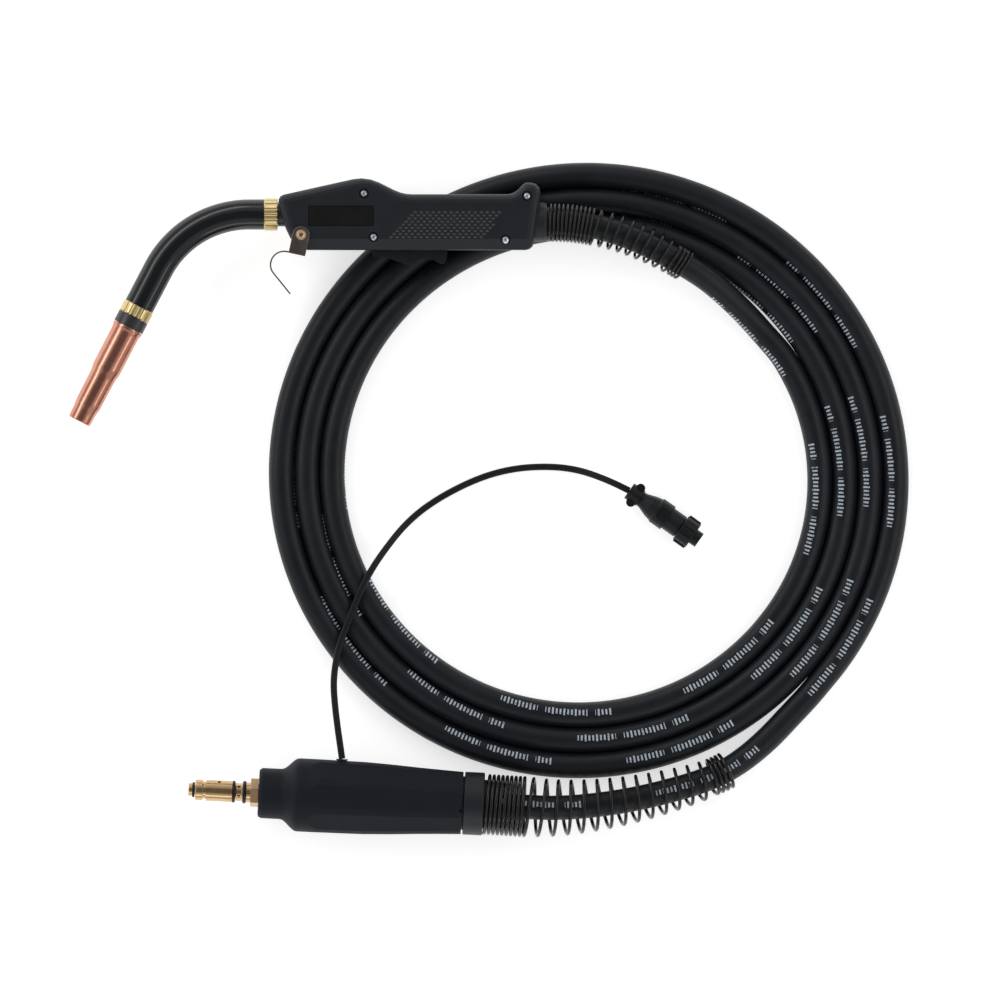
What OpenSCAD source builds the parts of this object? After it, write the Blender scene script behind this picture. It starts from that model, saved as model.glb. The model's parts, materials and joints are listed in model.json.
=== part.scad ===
// MIG welding torch with its coiled lead, lying on a table.
// Millimetres. +Z points up from the table and +X from the neck along the handle.
// The origin is the middle of the footprint of the torch and the rear connector.

/* [Power cable] */
// Outside diameter of the power cable
cable_d = 18.4; // [14:0.1:18.4]
// Radius of the innermost turn of the coil
coil_r = 176.1; // [175.8:0.1:180]
// Step outward from each turn to the next
coil_pitch = 19; // [19:0.1:20]
// How much wider than high the coil lies, at each side
coil_oval = 2.2; // [0:0.1:3]

/* [Handle] */
// Gap between the handle and the cable that passes under it
handle_lift = 0.6; // [0.4:0.1:8]
// Thickness of the handle across its two shells
handle_w = 37; // [31:0.5:37]
// Length of the straight grip
grip_l = 85.5; // [70:0.5:103]
// Height of the grip from its underside to its top
grip_h = 42; // [40:0.5:46]
// Rise of the hump over the grip's top
hump_rise = 13.4; // [9:0.1:15]
// Wall thickness of the shells
handle_wall = 2.6; // [2:0.1:3.2]
// Radius of the rounded long edges
edge_r = 6; // [3:0.5:6]
// Depth of the recessed panel in the upper shell
panel_depth = 0.8; // [0.4:0.1:1.5]

/* [Handle screws] */
// Diameter of the screw shanks
screw_d = 3; // [2.5:0.1:3.5]
// Diameter of the pan heads
screw_head_d = 6.2; // [5:0.1:6.6]

/* [Trigger] */
// Length of the trigger along the handle
trigger_l = 56.7; // [47:0.1:60]
// Width of the trigger
trigger_w = 14; // [11:0.5:17]
// Diameter of the trigger's pivot pin
trigger_pin_d = 3; // [2.5:0.1:3.5]
// Travel of the trigger in degrees
trigger_travel = 4; // [2:0.5:4.5]

/* [Neck] */
// Outside diameter of the neck's jacket
neck_d = 22.9; // [18:0.1:23.1]
// Bend of the neck in degrees
neck_bend = 62.5; // [45:0.5:75]
// Radius of the neck's bend on its centre line
neck_bend_r = 77; // [60:1:90]
// Straight length before the bend
neck_rear_l = 11.3; // [9:0.1:30]
// Straight length after the bend
neck_front_l = 31; // [25:0.5:60]
// Diameter of the copper tube inside the neck
neck_tube_d = 12; // [10:0.1:13]
// Diameter of the fluted brass rings
ring_d = 23.9; // [23.4:0.1:25]
// Length of the rear fluted ring
rear_ring_l = 10; // [8:0.5:14]
// Length of the front fluted ring
front_ring_l = 8.5; // [6:0.5:12]

/* [Nozzle] */
// Length of the nozzle
nozzle_l = 80; // [67:0.5:96]
// Outside diameter of the nozzle's body
nozzle_d = 22.2; // [21.2:0.1:23.5]
// Outside diameter of the waist in front of the first shoulder
nozzle_waist_d = 20.2; // [19.2:0.1:21]
// Outside diameter at the nozzle's mouth
nozzle_mouth_d = 17.8; // [16.6:0.1:18.6]
// Wall thickness of the nozzle
nozzle_wall = 1.5; // [1:0.1:1.8]
// Length of the black insulator that shows
insulator_l = 8.8; // [6:0.1:12]
// Diameter of the black insulator
insulator_d = 23.9; // [21.5:0.1:25]
// How far the contact tip stands back from the mouth
tip_recess = 5; // [3:0.5:8]
// Diameter of the contact tip
tip_d = 8; // [6.5:0.1:9]
// Wire bore of the contact tip
wire_bore_d = 1.4; // [0.9:0.1:2]

/* [Hanging hook] */
// Width of the hook's ears
hook_ear_w = 12.8; // [9:0.1:13]
// Thickness of the hook's sheet
hook_t = 1.2; // [0.8:0.1:1.6]
// Width of the hook's strap
hook_strap_w = 14; // [8:0.5:20]
// Inside radius of the hook's curl
hook_curl_r = 9.5; // [6.5:0.1:10]
// Diameter of the rivet's shank
rivet_d = 5; // [4:0.1:6]

/* [Springs] */
// Wire diameter of the front spring
front_wire_d = 2.2; // [1.6:0.1:2.2]
// Outside diameter of the front spring at the handle
front_spring_d = 30; // [28:0.5:31]
// Play between the front spring's free end and the cable, on each side
front_spring_play = 1.6; // [1.1:0.1:2.6]
// Wire diameter of the rear spring
rear_wire_d = 2.7; // [2:0.1:2.7]
// Outside diameter of the rear spring at the boot
rear_spring_d = 46; // [42:0.5:47]
// Play between the rear spring's free end and the cable, on each side
rear_spring_play = 2.6; // [1.6:0.1:4.1]

/* [Rear connector] */
// Diameter of the power pin's barrel
pin_d = 15.9; // [14:0.1:17]
// Length of the power pin's barrel
pin_barrel_l = 19.6; // [16:0.1:24]
// Diameter of the wire way through the power pin
pin_bore_d = 6; // [4:0.1:7]
// Width across the flats of the hex nut
nut_af = 19; // [17:0.5:22]
// Length of the boot up to its seam
boot_l = 153; // [128:1:184]
// Diameter of the boot at its shoulder
boot_d = 55; // [54:0.1:55.2]
// Diameter of the boot at its seam
boot_rear_d = 46.8; // [45:0.1:48]
// Diameter of the boot's front collar
collar_d = 37.8; // [34:0.1:42]
// Wall thickness of the boot
boot_wall = 3; // [2:0.1:4]
// Length of the boot's cap
cap_l = 15; // [12:0.5:20]

/* [Control lead] */
// Width of the flat twin lead
lead_w = 5; // [4:0.1:5]
// Thickness of the flat twin lead
lead_t = 2.8; // [2:0.1:3]
// Diameter of the plug's coupling ring
coupling_d = 23.4; // [21:0.1:23.8]
// Diameter of the plug's body
plug_d = 17.8; // [15:0.1:18]
// Length of the plug's coupling ring
coupling_l = 11.5; // [9:0.5:16]
// Diameter of the plug's nose
plug_nose_d = 12; // [10:0.1:13]

/* [Hidden] */
$fn = 48;

// Clearances: between fixed pieces, between moving pieces, and for a push fit
gap = 0.3;
run_gap = 0.4;
fit_gap = 0.05;

// ---------------------------------------------------------------- layout
// Where the cable leaves the handle, the boot's cap, and enters the plug
torch_z = cable_d + handle_lift + handle_w / 2;
handle_exit = [109, 214.7, torch_z];
cap_exit = [61.5, -221.9, boot_d / 2 + 0.1];
cap_tilt = -2.85;
plug_entry = [170.6, 13.2, coupling_d / 2 + 0.6];
plug_turn = -35.4;
coil_centre = [135.5, 23.5, 0];

// Torch plan, measured from the corner where the neck's axis meets the handle's nose
nose_l = 91.2;
tail_l = 21.5;
grip_top = 15.2;
handle_base = grip_top - grip_h;
handle_half = handle_w / 2;
grip_end = nose_l + grip_l;
handle_l = grip_end + tail_l;
cable_drop = -5.6;
ferrule_d = 29.6;
ferrule_end = handle_l + 3.55;

// Rear connector, measured along its axis from the boot's front face
seam_gap = 1.2;
cap_start = boot_l + seam_gap;
cap_end = cap_start + cap_l;

// ---------------------------------------------------------------- frames
module at_torch() {
    translate(handle_exit - [ferrule_end, cable_drop, 0]) children();
}

// Along the neck in front of its bend: +Z of the children points to the mouth
module at_neck(s) {
    at_torch()
        translate([-rear_ring_end - neck_rear_l - neck_bend_r * sin(neck_bend), 0, 0])
            translate([0, -neck_bend_r * (1 - cos(neck_bend)), 0])
                rotate([0, 0, 180 + neck_bend])
                    translate([s, 0, 0])
                        rotate([0, 90, 0]) children();
}

// Along the rear connector: +X runs from the pin's tip to the cable
module at_rear() {
    translate(cap_exit)
        rotate([0, 0, cap_tilt])
            translate([-cap_end, 0, 0]) children();
}

module at_plug() {
    translate(plug_entry) rotate([0, 0, plug_turn]) children();
}

// A solid turned about +X from a profile of [along, radius] points
module turned(profile, sides = 48) {
    rotate([0, 90, 0])
        rotate_extrude($fn = sides)
            polygon([for (p = profile) [p[1], p[0]]]);
}

module x_cylinder(x0, x1, d, sides = 48) {
    translate([x0, 0, 0])
        rotate([0, 90, 0])
            cylinder(d = d, h = x1 - x0, $fn = sides);
}

// ---------------------------------------------------------------- curves
function unit(v) = v / norm(v);

// Catmull-Rom curve through the points, with k steps a span
function ghost(p, q) = 2 * p - q;
function spline_point(a, b, c, d, t) =
    b + 0.5 * t * (c - a + t * (2 * a - 5 * b + 4 * c - d + t * (3 * (b - c) + d - a)));
function spline(pts, k) =
    let (n = len(pts), q = concat([ghost(pts[0], pts[1])], pts, [ghost(pts[n - 1], pts[n - 2])]))
    concat([for (i = [0:n - 2], j = [0:k - 1]) spline_point(q[i], q[i + 1], q[i + 2], q[i + 3], j / k)],
           [pts[n - 1]]);

// Length along a path up to each of its points
function lengths(path, i = 0, sum = 0, out = []) =
    i == len(path) ? out
    : let (s = i == 0 ? 0 : sum + norm(path[i] - path[i - 1]))
      lengths(path, i + 1, s, concat(out, [s]));

function path_at(path, along, s) =
    [for (axis = [0:2]) lookup(s, [for (i = [0:len(path) - 1]) [along[i], path[i][axis]]])];

// Direction of a path at each point, with its two ends given
function directions(path, first, last) =
    [for (i = [0:len(path) - 1])
        i == 0 ? first : i == len(path) - 1 ? last : unit(path[i + 1] - path[i - 1])];

// Sweep of a section of [sideways, upward] points along a path that never stands upright
module tube(path, first, last, section) {
    dirs = directions(path, first, last);
    m = len(section);
    n = len(path);
    rings = [for (i = [0:n - 1])
        let (side = unit(cross(dirs[i], [0, 0, 1])), up = cross(side, dirs[i]))
        for (s = section) path[i] + s[0] * side + s[1] * up];
    polyhedron(concat(rings, [path[0], path[n - 1]]), tube_faces(n, m));
}

// Triangles between n rings of m points
function tube_sides(n, m) = concat(
    [for (i = [0:n - 2], j = [0:m - 1]) [i * m + j, i * m + (j + 1) % m, (i + 1) * m + j]],
    [for (i = [0:n - 2], j = [0:m - 1])
        [i * m + (j + 1) % m, (i + 1) * m + (j + 1) % m, (i + 1) * m + j]]);

// Triangles of a capped tube of n rings of m points, with a centre point at each end
function tube_faces(n, m) = concat(
    tube_sides(n, m),
    [for (j = [0:m - 1]) [n * m, (j + 1) % m, j]],
    [for (j = [0:m - 1]) [n * m + 1, (n - 1) * m + j, (n - 1) * m + (j + 1) % m]]);

function round_section(d, sides) =
    [for (j = [0:sides - 1]) d / 2 * [cos(360 * j / sides), sin(360 * j / sides)]];
// Six-sided cord section, as wide and high as the cord, that lies on its flat side
function flat_six(d) = d / 2 * [[1, 0], [0.54, 1], [-0.54, 1], [-1, 0], [-0.54, -1], [0.54, -1]];

// ---------------------------------------------------------------- cable routes
turns_start = 32;
turns_end = -40 - 3 * 360;
coil_rings = 24;

function coil_radius(a) = coil_r - coil_pitch * a / 360 + coil_oval * cos(2 * a);
function coil_point(a) = coil_centre + [coil_radius(a) * cos(a), coil_radius(a) * sin(a), cable_d / 2];
// Direction of the coil's winding, clockwise from above
function coil_heading(a) = unit(coil_point(a - 0.5) - coil_point(a + 0.5));

// The inner end keeps to the spiral, to clear the next turn, and the outer end runs off straight
coil_in_dir = unit(coil_point(turns_start) - coil_point(turns_start + 360 / coil_rings));
coil_in = coil_point(turns_start) - cable_d * coil_in_dir;
coil_out_dir = coil_heading(turns_end);
coil_out = coil_point(turns_end) + cable_d * coil_out_dir;
coil_steps = round((turns_start - turns_end) / 360 * coil_rings);
coil_path = concat(
    [coil_in],
    [for (i = [0:coil_steps]) coil_point(turns_start + (turns_end - turns_start) * i / coil_steps)],
    [coil_out]);

handle_exit_dir = [1, 0, 0];
cap_exit_dir = [cos(cap_tilt), sin(cap_tilt), 0];

front_route = [
    handle_exit, handle_exit + [18, -0.7, -0.1], handle_exit + [37, -3.7, -0.5],
    handle_exit + [56, -9.2, -1.5], handle_exit + [74, -16.7, -3.5], handle_exit + [90, -24.7, -6],
    handle_exit + [104, -32.7, -8.7], [230, 171, 24.5], [245, 158.2, 18.6], [258.8, 144.8, 12.8], coil_in
];
rear_route = [
    cap_exit, [91, -223.8, 27.5], [113, -224.8, 27], [136, -223.6, 26.1], [159, -220.8, 24.7],
    [182, -216.5, 22.7], [203, -211.3, 20.5], [224, -205, 17.8], [243, -196.8, 15], [260, -185.5, 12.4],
    [276.6, -170.9, 10.4], [290.7, -156, 9.4], coil_out
];
front_curve = spline(front_route, 6);
rear_curve = spline(rear_route, 6);
front_along = lengths(front_curve);
rear_along = lengths(rear_curve);

module cable_lead(curve, along, first, last) {
    total = along[len(along) - 1];
    steps = ceil(total / (2 * cable_d));
    path = [for (i = [0:steps]) path_at(curve, along, total * i / steps)];
    color([0.1, 0.1, 0.11]) tube(path, first, last, round_section(cable_d, 12));
}

module cable_front_lead() {
    cable_lead(front_curve, front_along, handle_exit_dir, coil_in_dir);
}

module cable_rear_lead() {
    cable_lead(rear_curve, rear_along, cap_exit_dir, -coil_out_dir);
}

module cable_coil() {
    color([0.12, 0.12, 0.13]) tube(coil_path, coil_in_dir, coil_out_dir, flat_six(cable_d));
}
coil_gap = min([for (i = [1:len(coil_path) - 2 - coil_rings], j = [coil_rings - 1:coil_rings + 1])
    i + j < len(coil_path) ? norm(coil_path[i + j] - coil_path[i]) : 1000]) - cable_d;
echo(cable_coil_least_gap_mm = coil_gap);

// ---------------------------------------------------------------- springs
// A spring is [wire, first diameter, last diameter, closed turns, open turns, end turns,
// closed pitch, open pitch, end pitch, start]
spring_rings = 8;
front_spring_end_d = cable_d + 2 * (front_wire_d + front_spring_play);
rear_spring_end_d = cable_d + 2 * (rear_wire_d + rear_spring_play);
front_spring_shape = [front_wire_d, front_spring_d, front_spring_end_d, 11, 8.5, 3,
    front_wire_d + 0.85, 7.8, front_wire_d + 0.75, front_wire_d / 2 + gap];
rear_spring_shape = [rear_wire_d, rear_spring_d, rear_spring_end_d, 9, 14, 3.5,
    rear_wire_d + 0.6, 10.2, rear_wire_d + 1, rear_wire_d / 2 + gap];

function spring_turns(s) = s[3] + s[4] + s[5];
// Distance along the spring's axis after t turns
function spring_advance(s, t) =
    s[9] + s[6] * min(t, s[3]) + s[7] * max(0, min(t - s[3], s[4])) + s[8] * max(0, t - s[3] - s[4]);
function spring_axis_r(s, t) =
    let (share = max(0, min(1, (t - s[3]) / s[4])))
    (s[1] + (s[2] - s[1]) * share - s[0]) / 2;

// Radius of the seat that fits inside the first turn, whose rings are joined by straight chords
function spring_seat_r(s) = (s[1] - s[0]) / 2 * cos(180 / spring_rings) - s[0] / 2 - gap;

function spring_point(s, t, curve, along) =
    let (reach = spring_advance(s, t),
         centre = path_at(curve, along, reach),
         dir = unit(path_at(curve, along, reach + 2) - path_at(curve, along, max(0, reach - 2))),
         side = unit(cross(dir, [0, 0, 1])),
         up = cross(side, dir),
         r = spring_axis_r(s, t))
    [centre + r * (cos(360 * t) * side + sin(360 * t) * up), dir];

function spring_points(s, curve, along) =
    [for (i = [0:round(spring_turns(s) * spring_rings)])
        spring_point(s, i / spring_rings, curve, along)];

function spring_gap(s, pts) =
    min([for (i = [0:len(pts) - 1], j = [spring_rings - 1:spring_rings + 1])
        i + j < len(pts) ? norm(pts[i + j][0] - pts[i][0]) : 1000]) - s[0];

// Round wire wound along the curve, with six sides
module spring_wire(s, pts) {
    n = len(pts);
    rings = [for (i = [0:n - 1])
        let (dir = unit(pts[min(i + 1, n - 1)][0] - pts[max(i - 1, 0)][0]),
             across = unit(cross(dir, pts[i][1])),
             along_axis = cross(across, dir))
        for (j = [0:5])
            pts[i][0] + s[0] / 2 * (cos(60 * j) * across + sin(60 * j) * along_axis)];
    color([0.13, 0.13, 0.14])
        polyhedron(concat(rings, [pts[0][0], pts[n - 1][0]]), tube_faces(n, 6));
}

front_spring_points = spring_points(front_spring_shape, front_curve, front_along);
rear_spring_points = spring_points(rear_spring_shape, rear_curve, rear_along);
echo(front_spring_least_gap_mm = spring_gap(front_spring_shape, front_spring_points));
echo(rear_spring_least_gap_mm = spring_gap(rear_spring_shape, rear_spring_points));

module front_spring() {
    spring_wire(front_spring_shape, front_spring_points);
}

module rear_spring() {
    spring_wire(rear_spring_shape, rear_spring_points);
}

// ---------------------------------------------------------------- handle
// Corners of the handle's side outline: [x, y, corner radius], clockwise from the nose's top
handle_corners = [
    [-1, 13.8, 5],
    [66.3, grip_top + hump_rise + 0.2, 30],
    [nose_l + 2.2, grip_top, 30],
    [grip_end, grip_top, 12],
    [grip_end + 8.3, grip_top + 8.7, 5],
    [handle_l, grip_top + 8.7, 7.5],
    [handle_l - 7, handle_base, 6.5],
    [20.5, handle_base, 8],
    [9.9, handle_base + 7.6, 8],
    [5.6, handle_base + 16.3, 25]
];
arc_steps = 3;
round_levels = 4;
outline_points = len(handle_corners) * (arc_steps + 1);
// Two points on the flat side, one by the hump and one by the tail, that see all corners between them
side_hubs = [[nose_l - 7, -9], [grip_end, -10]];
tail_hub_from = 3 * (arc_steps + 1);
tail_hub_to = 7 * (arc_steps + 1);

// Inward normal of the edge that follows corner i
function edge_normal(c, i) =
    let (a = c[i], b = c[(i + 1) % len(c)], v = unit([b[0] - a[0], b[1] - a[1]])) [v[1], -v[0]];

// Rounded corner i of an outline that is moved inwards by d
function corner_arc(c, i, d) =
    let (na = edge_normal(c, (i + len(c) - 1) % len(c)),
         nb = edge_normal(c, i),
         mid = unit(na + nb),
         half = acos(min(1, na * mid)),
         bulge = na[0] * nb[1] - na[1] * nb[0] < 0 ? 1 : -1,
         r = max(0.8, c[i][2] - bulge * d),
         centre = [c[i][0], c[i][1]] + mid * (d + bulge * r) / cos(half))
    [for (k = [0:arc_steps])
        let (w = k / arc_steps)
        centre - bulge * r * unit(na * sin((1 - w) * 2 * half) + nb * sin(w * 2 * half))];

function outline(c, d = 0) = [for (i = [0:len(c) - 1]) each corner_arc(c, i, d)];

// Levels of [height, inset] from the mid-plane up to a face at height h, with the edge rounded by r
function edge_levels(h, r, inset) = concat([[0, inset]],
    [for (k = [0:round_levels]) let (a = 90 * k / round_levels)
        [h - r + r * sin(a), inset + r * (1 - cos(a))]]);
function backwards(list) = [for (i = [len(list) - 1:-1:0]) list[i]];

// Triangles that close the flat side whose outline starts at point p, round hub points a and b
function side_faces(p, a, b) = concat(
    [for (j = [0:outline_points - 1])
        [j >= tail_hub_from && j < tail_hub_to ? b : a, p + (j + 1) % outline_points, p + j]],
    [[b, p + tail_hub_from, a], [a, p + tail_hub_to, b]]);

// One half of the handle as a wall of even thickness, open at the mid-plane
module shell_form() {
    outer = edge_levels(handle_half, edge_r, 0);
    inner = edge_levels(handle_half - handle_wall, edge_r - handle_wall, handle_wall);
    levels = concat(backwards(inner), outer);
    rings = [for (l = levels) for (p = outline(handle_corners, l[1])) [p[0], p[1], l[0]]];
    hubs = [for (h = [handle_half - handle_wall, handle_half], p = side_hubs) [p[0], p[1], h]];
    first_hub = len(rings);
    outer_side = side_faces(first_hub - outline_points, first_hub + 2, first_hub + 3);
    difference() {
        polyhedron(concat(rings, hubs), concat(
            tube_sides(len(levels), outline_points),
            side_faces(0, first_hub, first_hub + 1),
            [for (f = outer_side) backwards(f)]));
        bevel_cut(0);
    }
}

// Half-space over the flat bevel along the handle's lower edge, moved inwards by d
bevel_rise = 8.4;
bevel_depth = 4;
module bevel_cut(d) {
    translate([-20, handle_base + bevel_rise, handle_half])
        rotate([atan(bevel_depth / bevel_rise), 0, 0])
            translate([0, -40, -d])
                cube([handle_l + 40, 60, 30]);
}

// Where the four screws, the hook's rivet and the trigger's pin go
screw_places = [[64.3, 15.8], [71.6, -16.9], [grip_end + 10, 13.9], [grip_end - 6.1, -18.8]];
rivet_at = [17.2, -15.2];
trigger_front = 70.4;
trigger_pin_at = [79.5, handle_base + 4.6];
trigger_end = trigger_front + trigger_l;
switch_at = [92, 114];
switch_peg_d = 2.6;
switch_pegs = [switch_at[0] + 5, switch_at[1] - 5];
switch_y = [-19.2, -12.6];
post_d = screw_head_d + 3.4;
screw_head_h = 2.2;
screw_seat = handle_half - 3.2;
bush_d = 18;
lug_d = 12;
clamp_x = [22, 60];
clamp_side = 20;
jacket_start = 146;

// One rib across the hollow between x0 and x1, with a round seat of diameter d at height y
module seat_rib(x0, x1, y, d) {
    difference() {
        intersection() {
            translate([x0, -60, 0]) cube([x1 - x0, 120, handle_half - handle_wall + 0.5]);
            translate([0, 0, -1])
                linear_extrude(handle_half)
                    polygon(outline(handle_corners, handle_wall - 0.5));
        }
        bevel_cut(handle_wall - 0.5);
        translate([0, y, 0]) x_cylinder(x0 - 1, x1 + 1, d);
    }
}

module posts(places, d) {
    difference() {
        for (p = places) translate([p[0], p[1], 0]) cylinder(d = d, h = handle_half - handle_wall + 1);
        bevel_cut(1);
    }
}

module handle_shell() {
    difference() {
        union() {
            shell_form();
            posts(screw_places, post_d);
            posts([rivet_at], rivet_d + 4);
            posts([trigger_pin_at], trigger_pin_d + 3.4);
            seat_rib(clamp_x[0] + 3, clamp_x[0] + 5.5, 0, clamp_side * sqrt(2) + gap * 2);
            seat_rib(clamp_x[1] - 6, clamp_x[1] - 3.5, 0, clamp_side * sqrt(2) + gap * 2);
            seat_rib(jacket_start + 4, jacket_start + 6.5, cable_drop, cable_d + gap * 2);
        }
        x_cylinder(-10, 20, bush_d + gap);
        translate([0, cable_drop, 0]) {
            x_cylinder(jacket_start - 4, handle_l, cable_d + 2 * gap);
            x_cylinder(handle_l - 14, handle_l + 10, ferrule_d + gap);
            x_cylinder(handle_l - 14.4, handle_l - 10.6, ferrule_flange_d + gap);
        }
        trigger_slot();
        translate([rivet_at[0], rivet_at[1], -1]) cylinder(d = rivet_d + 2 * fit_gap, h = handle_w);
        translate([trigger_pin_at[0], trigger_pin_at[1], -1])
            cylinder(d = trigger_pin_d + 2 * fit_gap, h = handle_half - handle_wall + 1);
    }
}

// Slot in the underside for the trigger, and room inside for its hub
module trigger_slot() {
    translate([trigger_pin_at[0] - 4.4, handle_base - 5, -1])
        cube([trigger_end + 0.7 - trigger_pin_at[0] + 4.4, 5 + 12, trigger_w / 2 + run_gap + 1]);
}

// Recessed blank panel beside the hump
panel_corner = [22.4, -8.7];
panel_size = [49.5, 15.4];

module handle_upper_shell() {
    color([0.13, 0.14, 0.16]) at_torch()
        difference() {
            handle_shell();
            translate([panel_corner[0], panel_corner[1], handle_half - panel_depth])
                cube([panel_size[0], panel_size[1], 5]);
            for (p = screw_places) translate([p[0], p[1], 0]) {
                translate([0, 0, -1]) cylinder(d = screw_d + 0.5, h = handle_w);
                translate([0, 0, screw_seat]) cylinder(d = screw_head_d + 1.2, h = 10);
            }
        }
}

module handle_lower_shell() {
    color([0.13, 0.14, 0.16]) at_torch() {
        difference() {
            mirror([0, 0, 1]) handle_shell();
            for (p = screw_places)
                translate([p[0], p[1], -screw_depth - 0.5]) cylinder(d = screw_d, h = screw_depth + 1);
        }
        for (x = switch_pegs)
            translate([x, (switch_y[0] + switch_y[1]) / 2, -handle_half + handle_wall - 0.5])
                cylinder(d = switch_peg_d, h = handle_half - handle_wall + 4);
    }
}

screw_depth = 11;
module handle_screws() {
    color([0.8, 0.82, 0.85]) at_torch()
        for (p = screw_places) translate([p[0], p[1], 0])
            difference() {
                union() {
                    translate([0, 0, -screw_depth])
                        cylinder(d = screw_d - 0.1, h = screw_depth + screw_seat + 0.5);
                    translate([0, 0, screw_seat + 0.05])
                        intersection() {
                            cylinder(d = screw_head_d, h = screw_head_h);
                            translate([0, 0, screw_head_h - screw_dome_r]) sphere(r = screw_dome_r);
                        }
                }
                for (a = [0, 90])
                    rotate([0, 0, a + 20])
                        translate([-1.7, -0.35, screw_seat + 1.1]) cube([3.4, 0.7, 5]);
            }
}
screw_dome_r = 4.4;

// ---------------------------------------------------------------- inside the handle
module neck_clamp() {
    color([0.78, 0.62, 0.3]) at_torch()
        difference() {
            intersection() {
                translate([clamp_x[0], -clamp_side / 2, -clamp_side / 2])
                    cube([clamp_x[1] - clamp_x[0], clamp_side, clamp_side]);
                x_cylinder(clamp_x[0], clamp_x[1], clamp_side * sqrt(2) - 1.6);
            }
            x_cylinder(clamp_x[0] - 1, neck_tube_start + 0.5, neck_tube_d + 2 * fit_gap);
            translate([0, cable_drop, 0])
                x_cylinder(clamp_x[1] - lug_spigot_l - 0.5, clamp_x[1] + 1, lug_spigot_d + 2 * fit_gap);
            for (x = set_screw_x)
                translate([x, 0, 0]) rotate([-90, 0, 0]) cylinder(d = set_screw_d + 0.1, h = 20);
        }
}

neck_tube_start = 48;
lug_spigot_d = 8;
lug_spigot_l = 8;
set_screw_d = 5;
set_screw_x = [34, 44];
module clamp_set_screws() {
    color([0.25, 0.25, 0.27]) at_torch()
        for (x = set_screw_x)
            translate([x, neck_tube_d / 2 + 0.1, 0])
                rotate([-90, 0, 0])
                    difference() {
                        cylinder(d = set_screw_d, h = 5);
                        translate([0, 0, 2.5]) cylinder(d = 2.9, h = 5, $fn = 6);
                    }
}

module cable_lug() {
    color([0.72, 0.45, 0.3]) at_torch() translate([0, cable_drop, 0])
        turned([[clamp_x[1] - lug_spigot_l, 0], [clamp_x[1] - lug_spigot_l, lug_spigot_d / 2],
                [clamp_x[1] + 0.1, lug_spigot_d / 2], [clamp_x[1] + 0.1, lug_d / 2],
                [clamp_x[1] + 30, lug_d / 2], [clamp_x[1] + 30, 0]]);
}

module cable_end_front() {
    color([0.1, 0.1, 0.11]) at_torch() translate([0, cable_drop, 0])
        turned([[clamp_x[1] + 30.1, 0], [clamp_x[1] + 30.1, 5.5], [jacket_start, 5.5],
                [jacket_start, cable_d / 2], [ferrule_end, cable_d / 2], [ferrule_end, 0]]);
}

// ---------------------------------------------------------------- trigger and switch
pad_y = switch_y[0] - 2.8;
// Lip at the trigger's end that stops it on the inside of the shells
stop_l = 3.2;
stop_y = handle_base + handle_wall + run_gap;
trigger_corners = [
    [trigger_pin_at[0] - 3.6, trigger_pin_at[1] + 3.2, 3],
    [trigger_pin_at[0] + 5, pad_y, 1],
    [trigger_end + stop_l, pad_y, 0.8],
    [trigger_end + stop_l, stop_y, 0.3],
    [trigger_end - 0.1, stop_y, 0.1],
    [trigger_end, handle_base - 0.5, 0.3],
    [trigger_end - 1.8, handle_base - 12.2, 3.2],
    [trigger_front + 0.8 * trigger_l, handle_base - 6.9, 8],
    [trigger_front + 0.64 * trigger_l, handle_base - 6.5, 10],
    [trigger_front + 0.473 * trigger_l, handle_base - 11.3, 3.5],
    [trigger_front + 0.2 * trigger_l, handle_base - 5.6, 8],
    [trigger_front + 0.9, handle_base - 5.1, 1.5],
    [trigger_front, handle_base - 0.4, 0.3],
    [trigger_pin_at[0] - 3.8, handle_base - 0.4, 0.3]
];

module trigger() {
    color([0.11, 0.11, 0.13]) at_torch()
        difference() {
            intersection() {
                translate([0, 0, -trigger_w / 2])
                    linear_extrude(trigger_w) polygon(outline(trigger_corners));
                rotate([90, 0, 90])
                    linear_extrude(handle_l)
                        polygon(outline(trigger_section));
            }
            translate([trigger_pin_at[0], trigger_pin_at[1], -trigger_w])
                cylinder(d = trigger_pin_d + 2 * fit_gap, h = 2 * trigger_w);
        }
}
// Cross-section of the trigger, rounded on the finger's side
trigger_section = [
    [handle_base - 14, trigger_w / 2 - 1.2, 0.3],
    [handle_base - 9.5, trigger_w / 2, 3],
    [0, trigger_w / 2, 0.3],
    [0, -trigger_w / 2, 0.3],
    [handle_base - 9.5, -trigger_w / 2, 3],
    [handle_base - 14, -trigger_w / 2 + 1.2, 0.3]
];

module trigger_pin() {
    reach = handle_half - handle_wall - 0.4;
    color([0.75, 0.76, 0.78]) at_torch()
        translate([trigger_pin_at[0], trigger_pin_at[1], -reach]) cylinder(d = trigger_pin_d, h = 2 * reach);
}

switch_w = 12;
plunger_d = 4;
plunger_bore = 4.6;
plunger_travel = 1.8;
plunger_x = (switch_at[0] + switch_at[1]) / 2;
module trigger_switch() {
    color([0.2, 0.2, 0.22]) at_torch()
        difference() {
            translate([switch_at[0], switch_y[0], -switch_w / 2])
                cube([switch_at[1] - switch_at[0], switch_y[1] - switch_y[0], switch_w]);
            for (x = switch_pegs)
                translate([x, (switch_y[0] + switch_y[1]) / 2, -switch_w])
                    cylinder(d = switch_peg_d + 2 * fit_gap, h = 2 * switch_w);
            translate([plunger_x, switch_y[0] - 1, 0])
                rotate([-90, 0, 0]) cylinder(d = plunger_d + 2 * fit_gap, h = 1 + plunger_bore);
        }
}

module switch_plunger() {
    color([0.75, 0.2, 0.15]) at_torch()
        translate([plunger_x, pad_y + 0.2, 0])
            rotate([-90, 0, 0])
                cylinder(d = plunger_d,
                         h = switch_y[0] - pad_y - 0.2 + plunger_bore - plunger_travel - run_gap);
}

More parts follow.
